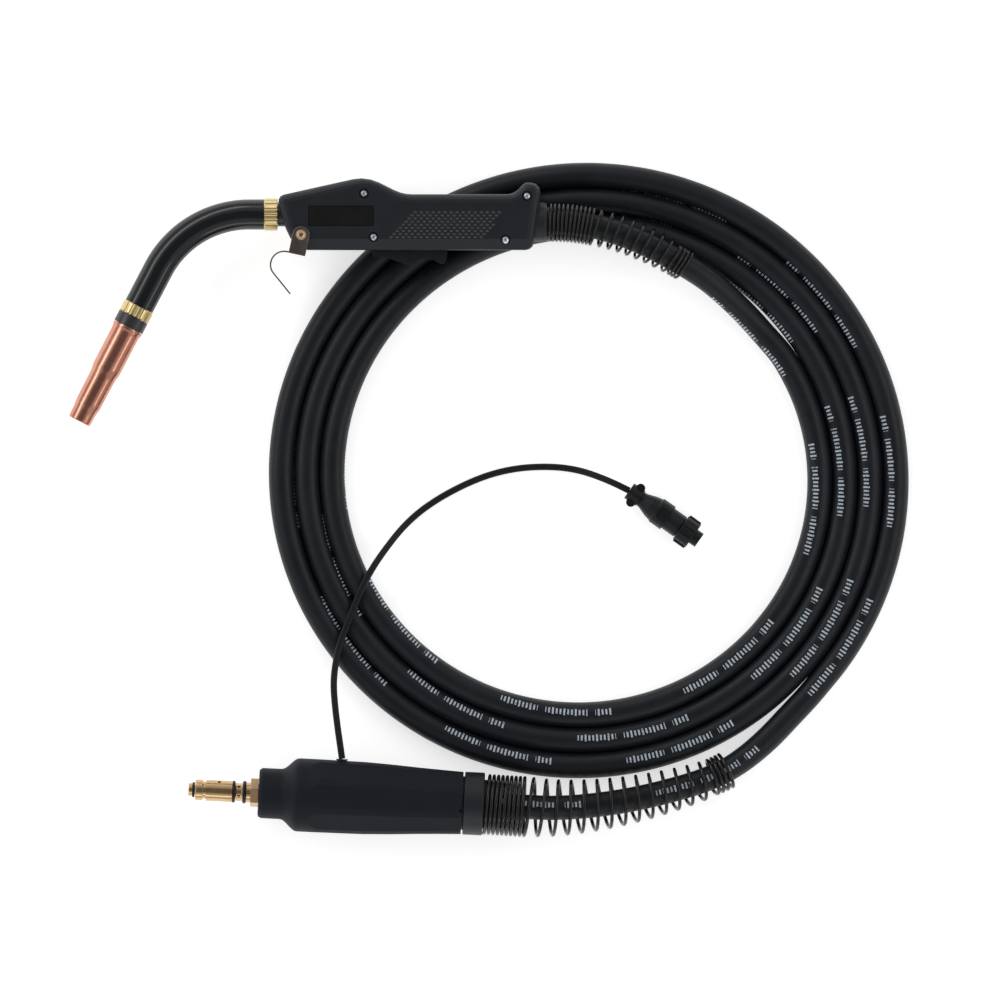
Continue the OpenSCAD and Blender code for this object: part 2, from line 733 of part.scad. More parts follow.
// ---------------------------------------------------------------- hanging hook
hook_turn = -12;
hook_base_drop = 14;
hook_curl_x = 7.8;
hook_curl_turn = 141;
hook_tail_l = 20;
rivet_head_d = 8;
rivet_recess = 4;

// One face of the hook's strap at radius r from the curl's centre: straight, curled, straight
hook_curl_steps = 24;
function strap_line(r) = concat(
    [[hook_curl_x + hook_ear_w / 2, r]],
    [for (k = [0:hook_curl_steps])
        let (a = 90 + hook_curl_turn * k / hook_curl_steps) r * [cos(a), sin(a)]],
    [let (a = 90 + hook_curl_turn) r * [cos(a), sin(a)] + hook_tail_l * [-sin(a), cos(a)]]);

module hook_strap_outline() {
    translate([-hook_curl_x, -hook_base_drop - hook_t - hook_curl_r])
        polygon(concat(strap_line(hook_curl_r + hook_t), backwards(strap_line(hook_curl_r))));
}

module at_hook() {
    at_torch() translate([rivet_at[0], rivet_at[1], 0]) rotate([0, 0, hook_turn]) children();
}

module hanging_hook() {
    ear_z = handle_half + gap;
    color([0.55, 0.52, 0.48]) at_hook() {
        difference() {
            for (z = [-ear_z - hook_t, ear_z])
                translate([0, 0, z]) {
                    cylinder(d = hook_ear_w, h = hook_t);
                    translate([-hook_ear_w / 2, -hook_base_drop - hook_t, 0])
                        cube([hook_ear_w, hook_base_drop + hook_t, hook_t]);
                }
            translate([0, 0, -handle_w]) cylinder(d = rivet_d + 2 * fit_gap, h = 2 * handle_w);
        }
        translate([-hook_ear_w / 2, -hook_base_drop - hook_t, -ear_z - hook_t])
            cube([hook_ear_w, hook_t, 2 * (ear_z + hook_t)]);
        translate([0, 0, -hook_strap_w / 2]) linear_extrude(hook_strap_w) hook_strap_outline();
    }
}

module hook_rivet() {
    outer = handle_half + gap + hook_t + 0.1;
    color([0.75, 0.6, 0.3]) at_hook()
        difference() {
            union() {
                translate([0, 0, -outer - 0.6]) cylinder(d = rivet_d, h = 2 * outer + 1.2);
                for (m = [0, 1]) mirror([0, 0, m]) translate([0, 0, outer])
                    rotate_extrude()
                        polygon([[1.3, 0], [rivet_head_d / 2, 0], [rivet_head_d / 2 - 0.5, 0.7],
                                 [2.6, 1], [1.3, 0.5]]);
            }
            for (m = [0, 1]) mirror([0, 0, m])
                translate([0, 0, outer + 0.6 - rivet_recess]) cylinder(d = rivet_d - 2, h = rivet_recess + 2);
        }
}

// ---------------------------------------------------------------- ferrule at the handle's tail
ferrule_flange_d = 31;
module handle_ferrule() {
    bore = cable_d / 2 + gap;
    root = spring_seat_r(front_spring_shape);
    color([0.14, 0.15, 0.17]) at_torch() translate([0, cable_drop, 0])
        turned([[handle_l - 14.2, bore], [handle_l - 14.2, ferrule_flange_d / 2],
                [handle_l - 10.8, ferrule_flange_d / 2], [handle_l - 10.8, ferrule_d / 2],
                [ferrule_end - 1.8, ferrule_d / 2], [ferrule_end - 1.2, ferrule_d / 2 - 0.6],
                [ferrule_end, ferrule_d / 2 - 0.6], [ferrule_end, root],
                [ferrule_end + 6, root - 0.3], [ferrule_end + 6, root - 1.2],
                [ferrule_end - 1, bore]]);
}

// ---------------------------------------------------------------- neck
rear_ring_end = rear_ring_l + 0.4;
flutes = 18;
flute_d = 3;

// Brass ring with round flutes along its outside
module fluted_ring(x0, x1, d, bore) {
    difference() {
        turned([[x0, bore / 2], [x0, d / 2 - 0.6], [x0 + 0.6, d / 2], [x1 - 0.6, d / 2],
                [x1, d / 2 - 0.6], [x1, bore / 2]]);
        for (i = [0:flutes - 1])
            rotate([360 * i / flutes, 0, 0])
                translate([0, 0, d / 2 + flute_d / 2 - 0.55]) x_cylinder(x0 - 1, x1 + 1, flute_d, 24);
    }
}

module neck_rear_ring() {
    color([0.83, 0.7, 0.36]) at_torch()
        fluted_ring(-rear_ring_end, -0.4, ring_d, neck_tube_d + 2 * fit_gap);
}

module neck_bush() {
    color([0.1, 0.1, 0.11]) at_torch()
        turned([[-0.3, neck_tube_d / 2 + fit_gap], [-0.3, bush_d / 2], [clamp_x[0] - 0.2, bush_d / 2],
                [clamp_x[0] - 0.2, neck_tube_d / 2 + fit_gap]]);
}

// A round bar or tube along the bent neck, from x in the handle to s past the bend
module neck_run(x, s, d, bore) {
    at_torch() {
        difference() {
            x_cylinder(-rear_ring_end - neck_rear_l, x, d);
            x_cylinder(-rear_ring_end - neck_rear_l - 1, x + 1, bore);
        }
        translate([-rear_ring_end - neck_rear_l, -neck_bend_r, 0])
            rotate([0, 0, 90])
                rotate_extrude(angle = neck_bend, $fn = 96)
                    translate([neck_bend_r, 0])
                        difference() {
                            circle(d = d);
                            circle(d = bore);
                        }
    }
    at_neck(0)
        difference() {
            cylinder(d = d, h = s);
            translate([0, 0, -1]) cylinder(d = bore, h = s + 2);
        }
}

neck_tube_bore = 7;
module neck_jacket() {
    color([0.06, 0.06, 0.07])
        neck_run(-rear_ring_end - 0.1, neck_front_l - 0.1, neck_d, neck_tube_d + 2 * fit_gap);
}

module neck_tube() {
    color([0.72, 0.45, 0.3])
        neck_run(neck_tube_start, insulator_at + insulator_l + spigot_l, neck_tube_d, neck_tube_bore);
}

front_ring_at = neck_front_l;
insulator_at = front_ring_at + front_ring_l + 0.1;
nozzle_at = insulator_at + insulator_l + 0.1;
spigot_l = 13;

module neck_front_ring() {
    color([0.83, 0.7, 0.36])
        at_neck(front_ring_at)
            rotate([0, -90, 0])
                fluted_ring(0, front_ring_l, ring_d, neck_tube_d + 2 * fit_gap);
}

module nozzle_insulator() {
    bore = neck_tube_d / 2 + fit_gap;
    fit = nozzle_d / 2 - nozzle_wall - fit_gap;
    color([0.16, 0.16, 0.18])
        at_neck(insulator_at)
            rotate_extrude()
                polygon([[bore, 0], [insulator_d / 2, 0], [insulator_d / 2, insulator_l], [fit, insulator_l],
                         [fit, insulator_l + spigot_l - 0.6], [fit - 0.6, insulator_l + spigot_l],
                         [bore, insulator_l + spigot_l]]);
}

// ---------------------------------------------------------------- nozzle and tip
shoulder_l = 5;
shoulder_at = 36;
mouth_l = 10;
lip_l = 2.4;
lip_h = 0.95;
waist_taper = 0.2;

module nozzle() {
    wall = nozzle_wall;
    outside = [
        [nozzle_d / 2 + lip_h, 0.4], [nozzle_d / 2 + lip_h, lip_l - 0.6], [nozzle_d / 2, lip_l + 0.4],
        [nozzle_d / 2, shoulder_at], [nozzle_waist_d / 2, shoulder_at + shoulder_l],
        [nozzle_waist_d / 2 - waist_taper, nozzle_l - mouth_l - 4],
        [nozzle_mouth_d / 2 + 0.3, nozzle_l - mouth_l],
        [nozzle_mouth_d / 2, nozzle_l]
    ];
    inside = [
        [nozzle_mouth_d / 2 - wall, nozzle_l], [nozzle_mouth_d / 2 + 0.3 - wall, nozzle_l - mouth_l],
        [nozzle_waist_d / 2 - waist_taper - wall, nozzle_l - mouth_l - 4],
        [nozzle_waist_d / 2 - wall, shoulder_at + shoulder_l], [nozzle_d / 2 - wall, shoulder_at],
        [nozzle_d / 2 - wall, 0], [nozzle_d / 2 + lip_h - 0.4, 0]
    ];
    color([0.8, 0.52, 0.42]) at_neck(nozzle_at)
        rotate_extrude($fn = 96) polygon(concat(outside, inside));
}

diffuser_l = 18;
diffuser_d = 13.6;
gas_holes = 6;
tip_thread_d = 6;
tip_thread_l = 8;
diffuser_at = insulator_at + insulator_l + spigot_l + 0.1;
wire_way_d = 2.6;

module gas_diffuser() {
    color([0.8, 0.65, 0.35]) at_neck(diffuser_at)
        difference() {
            rotate_extrude()
                polygon([[wire_way_d / 2, -6], [neck_tube_bore / 2 - fit_gap, -6],
                         [neck_tube_bore / 2 - fit_gap, 0], [diffuser_d / 2, 0],
                         [diffuser_d / 2, diffuser_l - 3], [diffuser_d / 2 - 1.5, diffuser_l],
                         [tip_thread_d / 2 + fit_gap, diffuser_l],
                         [tip_thread_d / 2 + fit_gap, diffuser_l - tip_thread_l - 0.3],
                         [wire_way_d / 2, diffuser_l - tip_thread_l - 0.3]]);
            for (i = [0:gas_holes - 1])
                rotate([0, 0, 360 * i / gas_holes])
                    translate([0, 0, 5]) rotate([0, 90, 0]) cylinder(d = 2, h = 20, $fn = 24);
        }
}

tip_at = diffuser_at + diffuser_l + 0.1;
tip_l = nozzle_at + nozzle_l - tip_recess - tip_at;
tip_bore_l = 25;
module contact_tip() {
    color([0.8, 0.5, 0.35]) at_neck(tip_at)
        difference() {
            rotate_extrude()
                polygon([[0, -tip_thread_l], [tip_thread_d / 2, -tip_thread_l], [tip_thread_d / 2, 0],
                         [tip_d / 2, 0], [tip_d / 2, tip_l - 9], [tip_d / 2 - 1.6, tip_l], [0, tip_l]]);
            translate([0, 0, -tip_thread_l - 1])
                cylinder(d = wire_way_d, h = tip_thread_l + 1 + tip_l - tip_bore_l);
            cylinder(d = wire_bore_d, h = tip_l + 1);
            for (a = [0, 180])
                rotate([0, 0, a]) translate([tip_d / 2 - 0.6, -10, 3]) cube([5, 20, 7]);
        }
}

// ---------------------------------------------------------------- rear connector
shoulder_steps = 8;
collar_l = 16.5;
flare_l = 13.5;
flats_start = 37;
flat_share = 0.957;
boot_nose_d = 17.4;
function flare(k) =
    let (t = k / shoulder_steps)
    [collar_l + flare_l * t, collar_d / 2 + (boot_d - collar_d) / 2 * (1 - cos(180 * t)) / 2];

grommet_at = cap_end - 107.8;
grommet_z = 6.5;
// How the taper grows along the eight flats, as [share of their length, share of the taper]
boot_curve = [[0, 0], [0.07, 0.01], [0.37, 0.1], [0.54, 0.32], [0.72, 0.63], [0.89, 0.87], [1, 1]];
function boot_u(share) = flats_start + (boot_l - flats_start) * share;
function flat_r(u) =
    boot_d / 2 - (boot_d - boot_rear_d) / 2 * lookup((u - flats_start) / (boot_l - flats_start), boot_curve);

// Eight-sided solid along +X from a profile of [along, distance to the flats] points
module eight_sided(profile) {
    n = len(profile);
    rings = [for (p = profile, j = [0:7])
        [p[0], -p[1] * cos(45 * j + 22.5) / cos(22.5), p[1] * sin(45 * j + 22.5) / cos(22.5)]];
    polyhedron(concat(rings, [[profile[0][0], 0, 0], [profile[n - 1][0], 0, 0]]), tube_faces(n, 8));
}

module rear_boot() {
    inner_front = collar_d / 2 - boot_wall;
    inner_shoulder = boot_d / 2 - boot_wall - 1.2;
    inner_rear = boot_rear_d / 2 - boot_wall;
    color([0.12, 0.13, 0.15]) at_rear()
        difference() {
            intersection() {
                turned(concat(
                    [[0, boot_nose_d / 2], [0, collar_d / 2 - 2.4],
                     [0.7, collar_d / 2 - 1], [2.6, collar_d / 2]],
                    [for (k = [0:shoulder_steps]) flare(k)],
                    [[flats_start, boot_d / 2]],
                    [for (c = [1:len(boot_curve) - 1])
                        let (u = boot_u(boot_curve[c][0])) [u, flat_r(u) / flat_share]],
                    [[boot_l, inner_rear], [boot_l - 12, inner_rear],
                     [collar_l + flare_l + 3, inner_shoulder], [collar_l + 8, inner_front],
                     [boot_wall, inner_front], [boot_wall, boot_nose_d / 2]]), 96);
                eight_sided(concat(
                    [[-1, boot_d / 2 + 5], [flats_start - 3, boot_d / 2 + 5]],
                    [for (c = boot_curve) [boot_u(c[0]), flat_r(boot_u(c[0]))]],
                    [[boot_l + 1, boot_rear_d / 2]]));
            }
            translate([grommet_at, 0, grommet_z]) rotate([-90, 0, 0]) cylinder(d = grommet_d, h = 60);
            translate([boot_l, -5.7, 0]) cylinder(d = 3.4, h = 60);
        }
}

grommet_d = 7.4;
module lead_grommet() {
    seat = flat_r(grommet_at);
    color([0.1, 0.1, 0.11]) at_rear()
        translate([grommet_at, 0, grommet_z])
            rotate([-90, 0, 0]) {
                translate([0, 0, seat - boot_wall - 2]) cylinder(d = grommet_d - 0.3, h = boot_wall + 2.4);
                translate([0, 0, seat + 0.2]) cylinder(d = grommet_d + 1.4, h = 1);
            }
}
lead_exit_local = [grommet_at, flat_r(grommet_at) + 1.4, grommet_z];

module boot_cap() {
    fit = boot_rear_d / 2 - boot_wall - gap;
    bore = cable_d / 2 + gap;
    r = boot_rear_d / 2 + 0.2;
    root = spring_seat_r(rear_spring_shape);
    color([0.12, 0.13, 0.15]) at_rear()
        turned([[cap_start - 9, fit - 2.5], [cap_start - 9, fit], [cap_start, fit], [cap_start, r - 0.4],
                [cap_start + 0.5, r], [cap_end - 0.8, r], [cap_end, r - 0.8], [cap_end, root],
                [cap_end + 12, root - 0.6], [cap_end + 12, root - 4], [cap_end - 3, root - 4],
                [cap_end - 3, bore], [cap_end - 6, bore], [cap_end - 6, fit - 2.5]], 96);
}

block_x = [3.2, 46];
block_flange_l = 9;
cable_end_rear_at = 62;
module crimp_block() {
    flange = collar_d / 2 - boot_wall - gap;
    color([0.75, 0.6, 0.32]) at_rear()
        turned([[block_x[0] + 10.2, 0], [block_x[0] + 10.2, pin_tail_d / 2 + fit_gap],
                [block_x[0], pin_tail_d / 2 + fit_gap], [block_x[0], flange],
                [block_x[0] + block_flange_l, flange], [block_x[0] + block_flange_l, 11],
                [block_x[1], 11], [block_x[1], 8.5], [cable_end_rear_at - 0.1, 8.5],
                [cable_end_rear_at - 0.1, 0]]);
}

module cable_end_rear() {
    color([0.1, 0.1, 0.11]) at_rear() x_cylinder(cable_end_rear_at, cap_end, cable_d);
}

// Profile lengths of the power pin, measured forward from the boot's face
nut_l = 6;
nut_turn = 16;
pin_tail_d = 14;
land_l = 2.8;
seal_wire = 3;
seal_groove_l = 3.3;
port_l = 4.4;
collar_groove_l = 2.2;
pin_collar_l = 6;
seal_groove_d = 11.2;
port_d = 13.2;
seal_1 = -nut_l - land_l - seal_groove_l;
port_end = seal_1 - port_l;
seal_2 = port_end - seal_groove_l;
barrel_start = seal_2 - pin_barrel_l;
pin_front = barrel_start - collar_groove_l - pin_collar_l;
liner_nut_d = 9.8;

module pin_nut() {
    color([0.8, 0.63, 0.32]) at_rear()
        translate([-nut_l, 0, 0])
            rotate([-nut_turn, 0, 0]) rotate([0, 90, 0])
                difference() {
                    intersection() {
                        cylinder(d = nut_af / cos(30), h = nut_l - 0.1, $fn = 6);
                        translate([0, 0, -1])
                            rotate_extrude()
                                polygon([[0, 0], [nut_af / 2, 0], [nut_af / 2 + 2.4, 2.4],
                                         [nut_af / 2 + 2.4, nut_l + 2], [0, nut_l + 2]]);
                    }
                    translate([0, 0, -1]) cylinder(d = pin_tail_d + 2 * fit_gap, h = nut_l + 2);
                }
}

module power_pin() {
    r = pin_d / 2;
    color([0.82, 0.66, 0.4]) at_rear()
        difference() {
            turned([[pin_front, pin_bore_d / 2], [pin_front, r - 0.7], [pin_front + 0.8, r - 0.05],
                    [pin_front + pin_collar_l - 0.8, r - 0.05], [pin_front + pin_collar_l, r - 0.7],
                    [pin_front + pin_collar_l, port_d / 2], [barrel_start, port_d / 2], [barrel_start, r],
                    [seal_2, r], [seal_2, seal_groove_d / 2], [port_end - 0.8, seal_groove_d / 2],
                    [port_end - 0.8, port_d / 2 + 0.6], [port_end, port_d / 2], [seal_1 - 0.8, port_d / 2],
                    [seal_1, port_d / 2 + 0.6], [seal_1, seal_groove_d / 2],
                    [seal_1 + seal_groove_l - 0.2, seal_groove_d / 2],
                    [seal_1 + seal_groove_l - 0.2, r - 0.4],
                    [-nut_l - 0.1, r - 0.4], [-nut_l - 0.1, pin_tail_d / 2],
                    [block_x[0] + 9.8, pin_tail_d / 2],
                    [block_x[0] + 9.8, pin_bore_d / 2]], 64);
            for (a = [0, 60, 120])
                rotate([a + 24, 0, 0])
                    translate([port_end + port_l / 2 - 0.4, 0, -20]) cylinder(d = 2.4, h = 40, $fn = 24);
            translate([barrel_start + 9.8, 0, 0]) rotate([-58, 0, 0]) cylinder(d = 2.6, h = 20, $fn = 24);
        }
}

module o_ring(x, d, wire) {
    translate([x, 0, 0]) rotate([0, 90, 0])
        rotate_extrude($fn = 64) translate([d / 2, 0]) circle(d = wire, $fn = 24);
}

module pin_o_rings() {
    centre_d = seal_groove_d + seal_wire + 0.1;
    color([0.05, 0.05, 0.05]) at_rear() {
        o_ring(seal_1 + seal_groove_l / 2 - 0.1, centre_d, seal_wire - 0.1);
        o_ring(seal_2 + (seal_groove_l - 0.8) / 2, centre_d, seal_wire - 0.6);
        o_ring(pin_front - 1.2, liner_neck_d + 2.1, 2);
    }
}

liner_neck_d = 7.6;
liner_stem_l = 12;
liner_bore_d = 2.6;
module liner_nut() {
    color([0.78, 0.6, 0.35]) at_rear()
        turned([[pin_front - 5, liner_bore_d / 2], [pin_front - 5, liner_nut_d / 2 - 0.5],
                [pin_front - 4.5, liner_nut_d / 2], [pin_front - 2.3, liner_nut_d / 2],
                [pin_front - 2.3, liner_neck_d / 2], [pin_front - 0.1, liner_neck_d / 2],
                [pin_front - 0.1, pin_bore_d / 2 - fit_gap],
                [pin_front + liner_stem_l, pin_bore_d / 2 - fit_gap],
                [pin_front + liner_stem_l, liner_bore_d / 2]]);
}

// ---------------------------------------------------------------- control lead and plug
// The lead leaves the boot sideways, crosses the coil and lies on the table inside it
lead_exit = cap_exit
    + lead_reach(lead_exit_local[0] - cap_end, lead_exit_local[1])
    + [0, 0, lead_exit_local[2]];
function lead_reach(x, y) = [x * cos(cap_tilt) - y * sin(cap_tilt), x * sin(cap_tilt) + y * cos(cap_tilt), 0];
lead_exit_dir = [-sin(cap_tilt), cos(cap_tilt), 0];
plug_dir = [cos(plug_turn), sin(plug_turn), 0];
lead_route = [
    lead_exit, [-46.3, -177, 33.2], [-48.4, -162, 31], [-50.2, -146, 28.2], [-51, -131, 25.4],
    [-49.5, -116, 22.8],
    [-46, -101, 21.2], [-40.5, -86, 20.5], [-34.5, -71, 20.5], [-28, -56, 20.7], [-20, -42, 18.5],
    [-10.5, -28.5, 12.6], [0, -15.5, 6], [12, -4, 2.6], [26, 6, 1.6], [41, 14.5, 1.5], [57, 21.8, 1.5],
    [73, 27, 1.5], [89, 30, 1.5], [105, 31, 1.5], [120, 30.4, 2.2], [134, 28, 4.4], [147, 23.8, 8],
    [159.3, 18.7, 11.2], plug_entry
];

module control_lead() {
    section = [for (j = [0:7])
        [lead_w / 2 * cos(45 * j + 22.5), lead_t / 2 * sin(45 * j + 22.5)] / cos(22.5)];
    path = spline(lead_route, 1);
    color([0.1, 0.1, 0.11]) tube(path, lead_exit_dir, plug_dir, section);
}

clamp_l = 10.5;
clamp_d = 13.4;
clamp_lug_d = 7;
clamp_lug_y = 6.4;
clamp_screw_x = 6;
clamp_screw_d = 2.2;
clamp_lug_h = 3.4;
clamp_head_d = 4;
shell_x = [13.2, 24.7, 25.3, 35.7];
body_end = 47.2;
ring_x0 = body_end + 0.3;
nose_end = 64.5;

// Half of the saddle round the lead, above the plug's mid-plane
module saddle_half() {
    difference() {
        intersection() {
            union() {
                x_cylinder(0, clamp_l, clamp_d);
                for (s = [-1, 1])
                    translate([clamp_screw_x, s * clamp_lug_y, 0]) cylinder(d = clamp_lug_d, h = clamp_lug_h);
            }
            translate([-1, -20, 0.2]) cube([30, 40, 20]);
        }
        for (s = [-1, 1])
            translate([clamp_screw_x, s * clamp_lug_y, 0]) {
                translate([0, 0, -1]) cylinder(d = clamp_screw_d + 0.2, h = 20);
                translate([0, 0, clamp_lug_h]) cylinder(d = clamp_head_d + 0.4, h = 20);
            }
    }
}

module lead_clamp() {
    color([0.1, 0.1, 0.12]) at_plug() saddle_half();
}

module clamp_screws() {
    color([0.55, 0.55, 0.58]) at_plug()
        for (s = [-1, 1])
            translate([clamp_screw_x, s * clamp_lug_y, 0]) {
                translate([0, 0, -3]) cylinder(d = clamp_screw_d, h = clamp_lug_h + 3.5);
                translate([0, 0, clamp_lug_h + 0.05]) cylinder(d = clamp_head_d, h = 1.5);
            }
}

module plug_backshell() {
    r = coupling_d / 2 - 1.4;
    color([0.12, 0.12, 0.14]) at_plug() {
        mirror([0, 0, 1]) saddle_half();
        difference() {
            turned([[clamp_l + 0.1, 0], [clamp_l + 0.1, clamp_d / 2 - 1], [shell_x[0], clamp_d / 2 - 0.6],
                    [shell_x[1] - 5, plug_d / 2 - 0.5], [shell_x[1], plug_d / 2 + 0.6], [shell_x[2], r],
                    [shell_x[3], r], [shell_x[3], 0]]);
            for (s = [-1, 1])
                translate([shell_x[2] + 2, -20, s > 0 ? plug_d / 2 : -plug_d / 2 - 10]) cube([20, 40, 10]);
        }
        translate([clamp_l - 1, 0, 0])
            intersection() {
                x_cylinder(0, 1.1, clamp_d - 2);
                translate([0, -20, -30]) cube([5, 40, 29.8]);
            }
    }
}

ring_neck_d = 15.6;
ring_neck_l = 3;
retainer_d = 17.4;
module plug_body() {
    color([0.12, 0.12, 0.14]) at_plug()
        turned([[shell_x[3] + 0.1, plug_nose_d / 2 - 0.15], [shell_x[3] + 0.1, plug_d / 2],
                [body_end - 0.6, plug_d / 2], [body_end, plug_d / 2 - 0.6], [body_end, ring_neck_d / 2],
                [body_end + ring_neck_l, ring_neck_d / 2], [body_end + ring_neck_l, retainer_d / 2],
                [body_end + ring_neck_l + 1.8, retainer_d / 2],
                [body_end + ring_neck_l + 1.8, plug_nose_d / 2 - 0.15]]);
}

nose_start = ring_x0 + coupling_l;
grip_ribs = 6;
module coupling_ring() {
    r = coupling_d / 2 - 1.1;
    lip_l = ring_neck_l - 0.6;
    color([0.13, 0.13, 0.15]) at_plug()
        difference() {
            union() {
                turned([[ring_x0, 0], [ring_x0, r - 0.5], [ring_x0 + 0.5, r], [ring_x0 + coupling_l - 0.5, r],
                        [ring_x0 + coupling_l, r - 0.5], [ring_x0 + coupling_l, 0]]);
                for (i = [0:grip_ribs - 1])
                    rotate([360 * i / grip_ribs + 30, 0, 0])
                        intersection() {
                            translate([ring_x0 + 0.8, -2.6, 0]) cube([coupling_l - 1.6, 5.2, 20]);
                            x_cylinder(ring_x0, ring_x0 + coupling_l, coupling_d);
                        }
            }
            x_cylinder(ring_x0 - 1, ring_x0 + coupling_l + 1, ring_neck_d + 2 * fit_gap);
            x_cylinder(ring_x0 + lip_l, ring_x0 + coupling_l + 1, retainer_d + 2 * run_gap);
        }
}

module plug_insert() {
    color([0.09, 0.09, 0.1]) at_plug()
        difference() {
            union() {
                x_cylinder(shell_x[3] + 0.1, nose_start, plug_nose_d - 0.4);
                x_cylinder(nose_start, nose_end, plug_nose_d);
            }
            x_cylinder(nose_end - 5, nose_end + 1, plug_nose_d - 2.4);
        }
}

module plug_contacts() {
    color([0.83, 0.68, 0.35]) at_plug()
        for (i = [0:3])
            rotate([90 * i + 45, 0, 0])
                translate([0, 0, 2.6]) x_cylinder(nose_end - 4.9, nose_end - 0.8, 1.4, 24);
}

// ---------------------------------------------------------------- assembly
nozzle();
contact_tip();
gas_diffuser();
nozzle_insulator();
neck_front_ring();
neck_jacket();
neck_tube();
neck_rear_ring();
neck_bush();
handle_upper_shell();
handle_lower_shell();
handle_screws();
neck_clamp();
clamp_set_screws();
cable_lug();
cable_end_front();
trigger();
trigger_pin();
trigger_switch();
switch_plunger();
hanging_hook();
hook_rivet();
handle_ferrule();
front_spring();
cable_front_lead();
cable_coil();
cable_rear_lead();
rear_spring();
boot_cap();
rear_boot();
cable_end_rear();
crimp_block();
pin_nut();
power_pin();
pin_o_rings();
liner_nut();
lead_grommet();
control_lead();
lead_clamp();
clamp_screws();
plug_backshell();
plug_body();
coupling_ring();
plug_insert();
plug_contacts();
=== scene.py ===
import json
import math

import bmesh
import bpy
import numpy as np
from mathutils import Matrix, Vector

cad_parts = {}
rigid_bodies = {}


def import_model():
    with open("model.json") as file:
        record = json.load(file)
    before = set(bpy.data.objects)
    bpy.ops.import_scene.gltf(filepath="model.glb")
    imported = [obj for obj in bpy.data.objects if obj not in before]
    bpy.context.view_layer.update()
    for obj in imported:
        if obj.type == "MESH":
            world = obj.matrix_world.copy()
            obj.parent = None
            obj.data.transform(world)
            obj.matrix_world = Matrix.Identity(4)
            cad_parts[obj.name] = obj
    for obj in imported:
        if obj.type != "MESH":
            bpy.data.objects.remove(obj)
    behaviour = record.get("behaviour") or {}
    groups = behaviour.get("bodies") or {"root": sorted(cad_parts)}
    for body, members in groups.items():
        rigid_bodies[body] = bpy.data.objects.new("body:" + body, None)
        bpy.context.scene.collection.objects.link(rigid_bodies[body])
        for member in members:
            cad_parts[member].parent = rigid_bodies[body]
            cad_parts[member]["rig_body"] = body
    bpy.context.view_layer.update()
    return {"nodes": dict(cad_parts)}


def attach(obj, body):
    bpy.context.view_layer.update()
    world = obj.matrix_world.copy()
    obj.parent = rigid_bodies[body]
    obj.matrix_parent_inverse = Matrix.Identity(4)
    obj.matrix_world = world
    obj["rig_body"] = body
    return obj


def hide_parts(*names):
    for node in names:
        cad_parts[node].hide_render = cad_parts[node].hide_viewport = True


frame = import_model()
nodes = frame["nodes"]
ROOT = "torch_and_lead"
MM = 0.001

# ---------------------------------------------------------------- table, light and camera
# A white table top inside a pale tent that is dark overhead, where the camera hangs and looks
# straight down. A long soft strip stands behind the neck, and two weaker ones right and in front.
view_width = 750 * MM
view_middle = (73.7 * MM, 6.15 * MM)
camera_height = 1.8
table_reach, table_drop = 2.5, 0.2 * MM
strip_distance = 1.6


def node(tree, kind, links=None, **settings):
    """One shader node; links gives its inputs, each a value or another node's output socket."""
    made = tree.nodes.new("ShaderNode" + kind)
    for key, value in settings.items():
        setattr(made, key, value)
    for key, value in (links or {}).items():
        if isinstance(value, bpy.types.NodeSocket):
            tree.links.new(value, made.inputs[key])
        else:
            made.inputs[key].default_value = value
    return made


def principled(name, **values):
    """New material with a Principled shader; returns it, its tree and the shader."""
    made = bpy.data.materials.new(name)
    made.use_nodes = True
    shader = made.node_tree.nodes["Principled BSDF"]
    for key, value in values.items():
        shader.inputs[key.replace("_", " ")].default_value = value
    return made, made.node_tree, shader


def noise(tree, vector, scale=1.0, detail=3.0):
    """Noise from 0 to 1 on a coordinate."""
    made = node(tree, "TexNoise", {"Vector": vector, "Scale": scale, "Detail": detail})
    return made.outputs["Fac"]


def spread(tree, value, low, high, start=0.3, stop=0.7, ease="LINEAR"):
    """A value between start and stop, stretched to run from low to high."""
    made = node(tree, "MapRange", {"Value": value, "From Min": start, "From Max": stop,
                                   "To Min": low, "To Max": high}, interpolation_type=ease)
    return made.outputs[0]


def blend_colour(tree, factor, first, second):
    """Colour that goes from first to second with the factor, each three numbers or a socket."""
    ends = [c if isinstance(c, bpy.types.NodeSocket) else (*c, 1) for c in (first, second)]
    made = node(tree, "Mix", {"Factor": factor, "A": ends[0], "B": ends[1]}, data_type="RGBA")
    return made.outputs["Result"]


table_paint, tree, shader = principled("white_table", Roughness=0.85, Emission_Strength=0.6,
                                       Emission_Color=(1, 1, 1, 1))
cloud = noise(tree, node(tree, "TexCoord").outputs["Object"], 3.0, 2.0)
tree.links.new(blend_colour(tree, cloud, (0.9, 0.9, 0.9), (0.94, 0.94, 0.94)),
               shader.inputs["Base Color"])
table_mesh = bpy.data.meshes.new("table")
corner = table_reach * np.array([[-1, -1], [1, -1], [1, 1], [-1, 1]])
table_mesh.from_pydata([(x, y, -table_drop) for x, y in corner], [], [(0, 1, 2, 3)])
table_mesh.materials.append(table_paint)
table = bpy.data.objects.new("table", table_mesh)
bpy.context.scene.collection.objects.link(table)


def soft_strip(name, turn, rise, width, height, brightness):
    """Rectangular area light that faces the middle of the table, from a turn round it and a rise
    above it in degrees."""
    away, up = math.radians(turn), math.radians(rise)
    light = bpy.data.lights.new(name, "AREA")
    light.shape, light.size, light.size_y = "RECTANGLE", width, height
    light.energy = brightness * math.pi * width * height
    lamp = bpy.data.objects.new(name, light)
    bpy.context.scene.collection.objects.link(lamp)
    reach = strip_distance * Vector((math.cos(up) * math.cos(away), math.cos(up) * math.sin(away),
                                     math.sin(up)))
    lamp.location = Vector((*view_middle, 0)) + reach
    lamp.rotation_euler = (-reach).to_track_quat("-Z", "Y").to_euler()


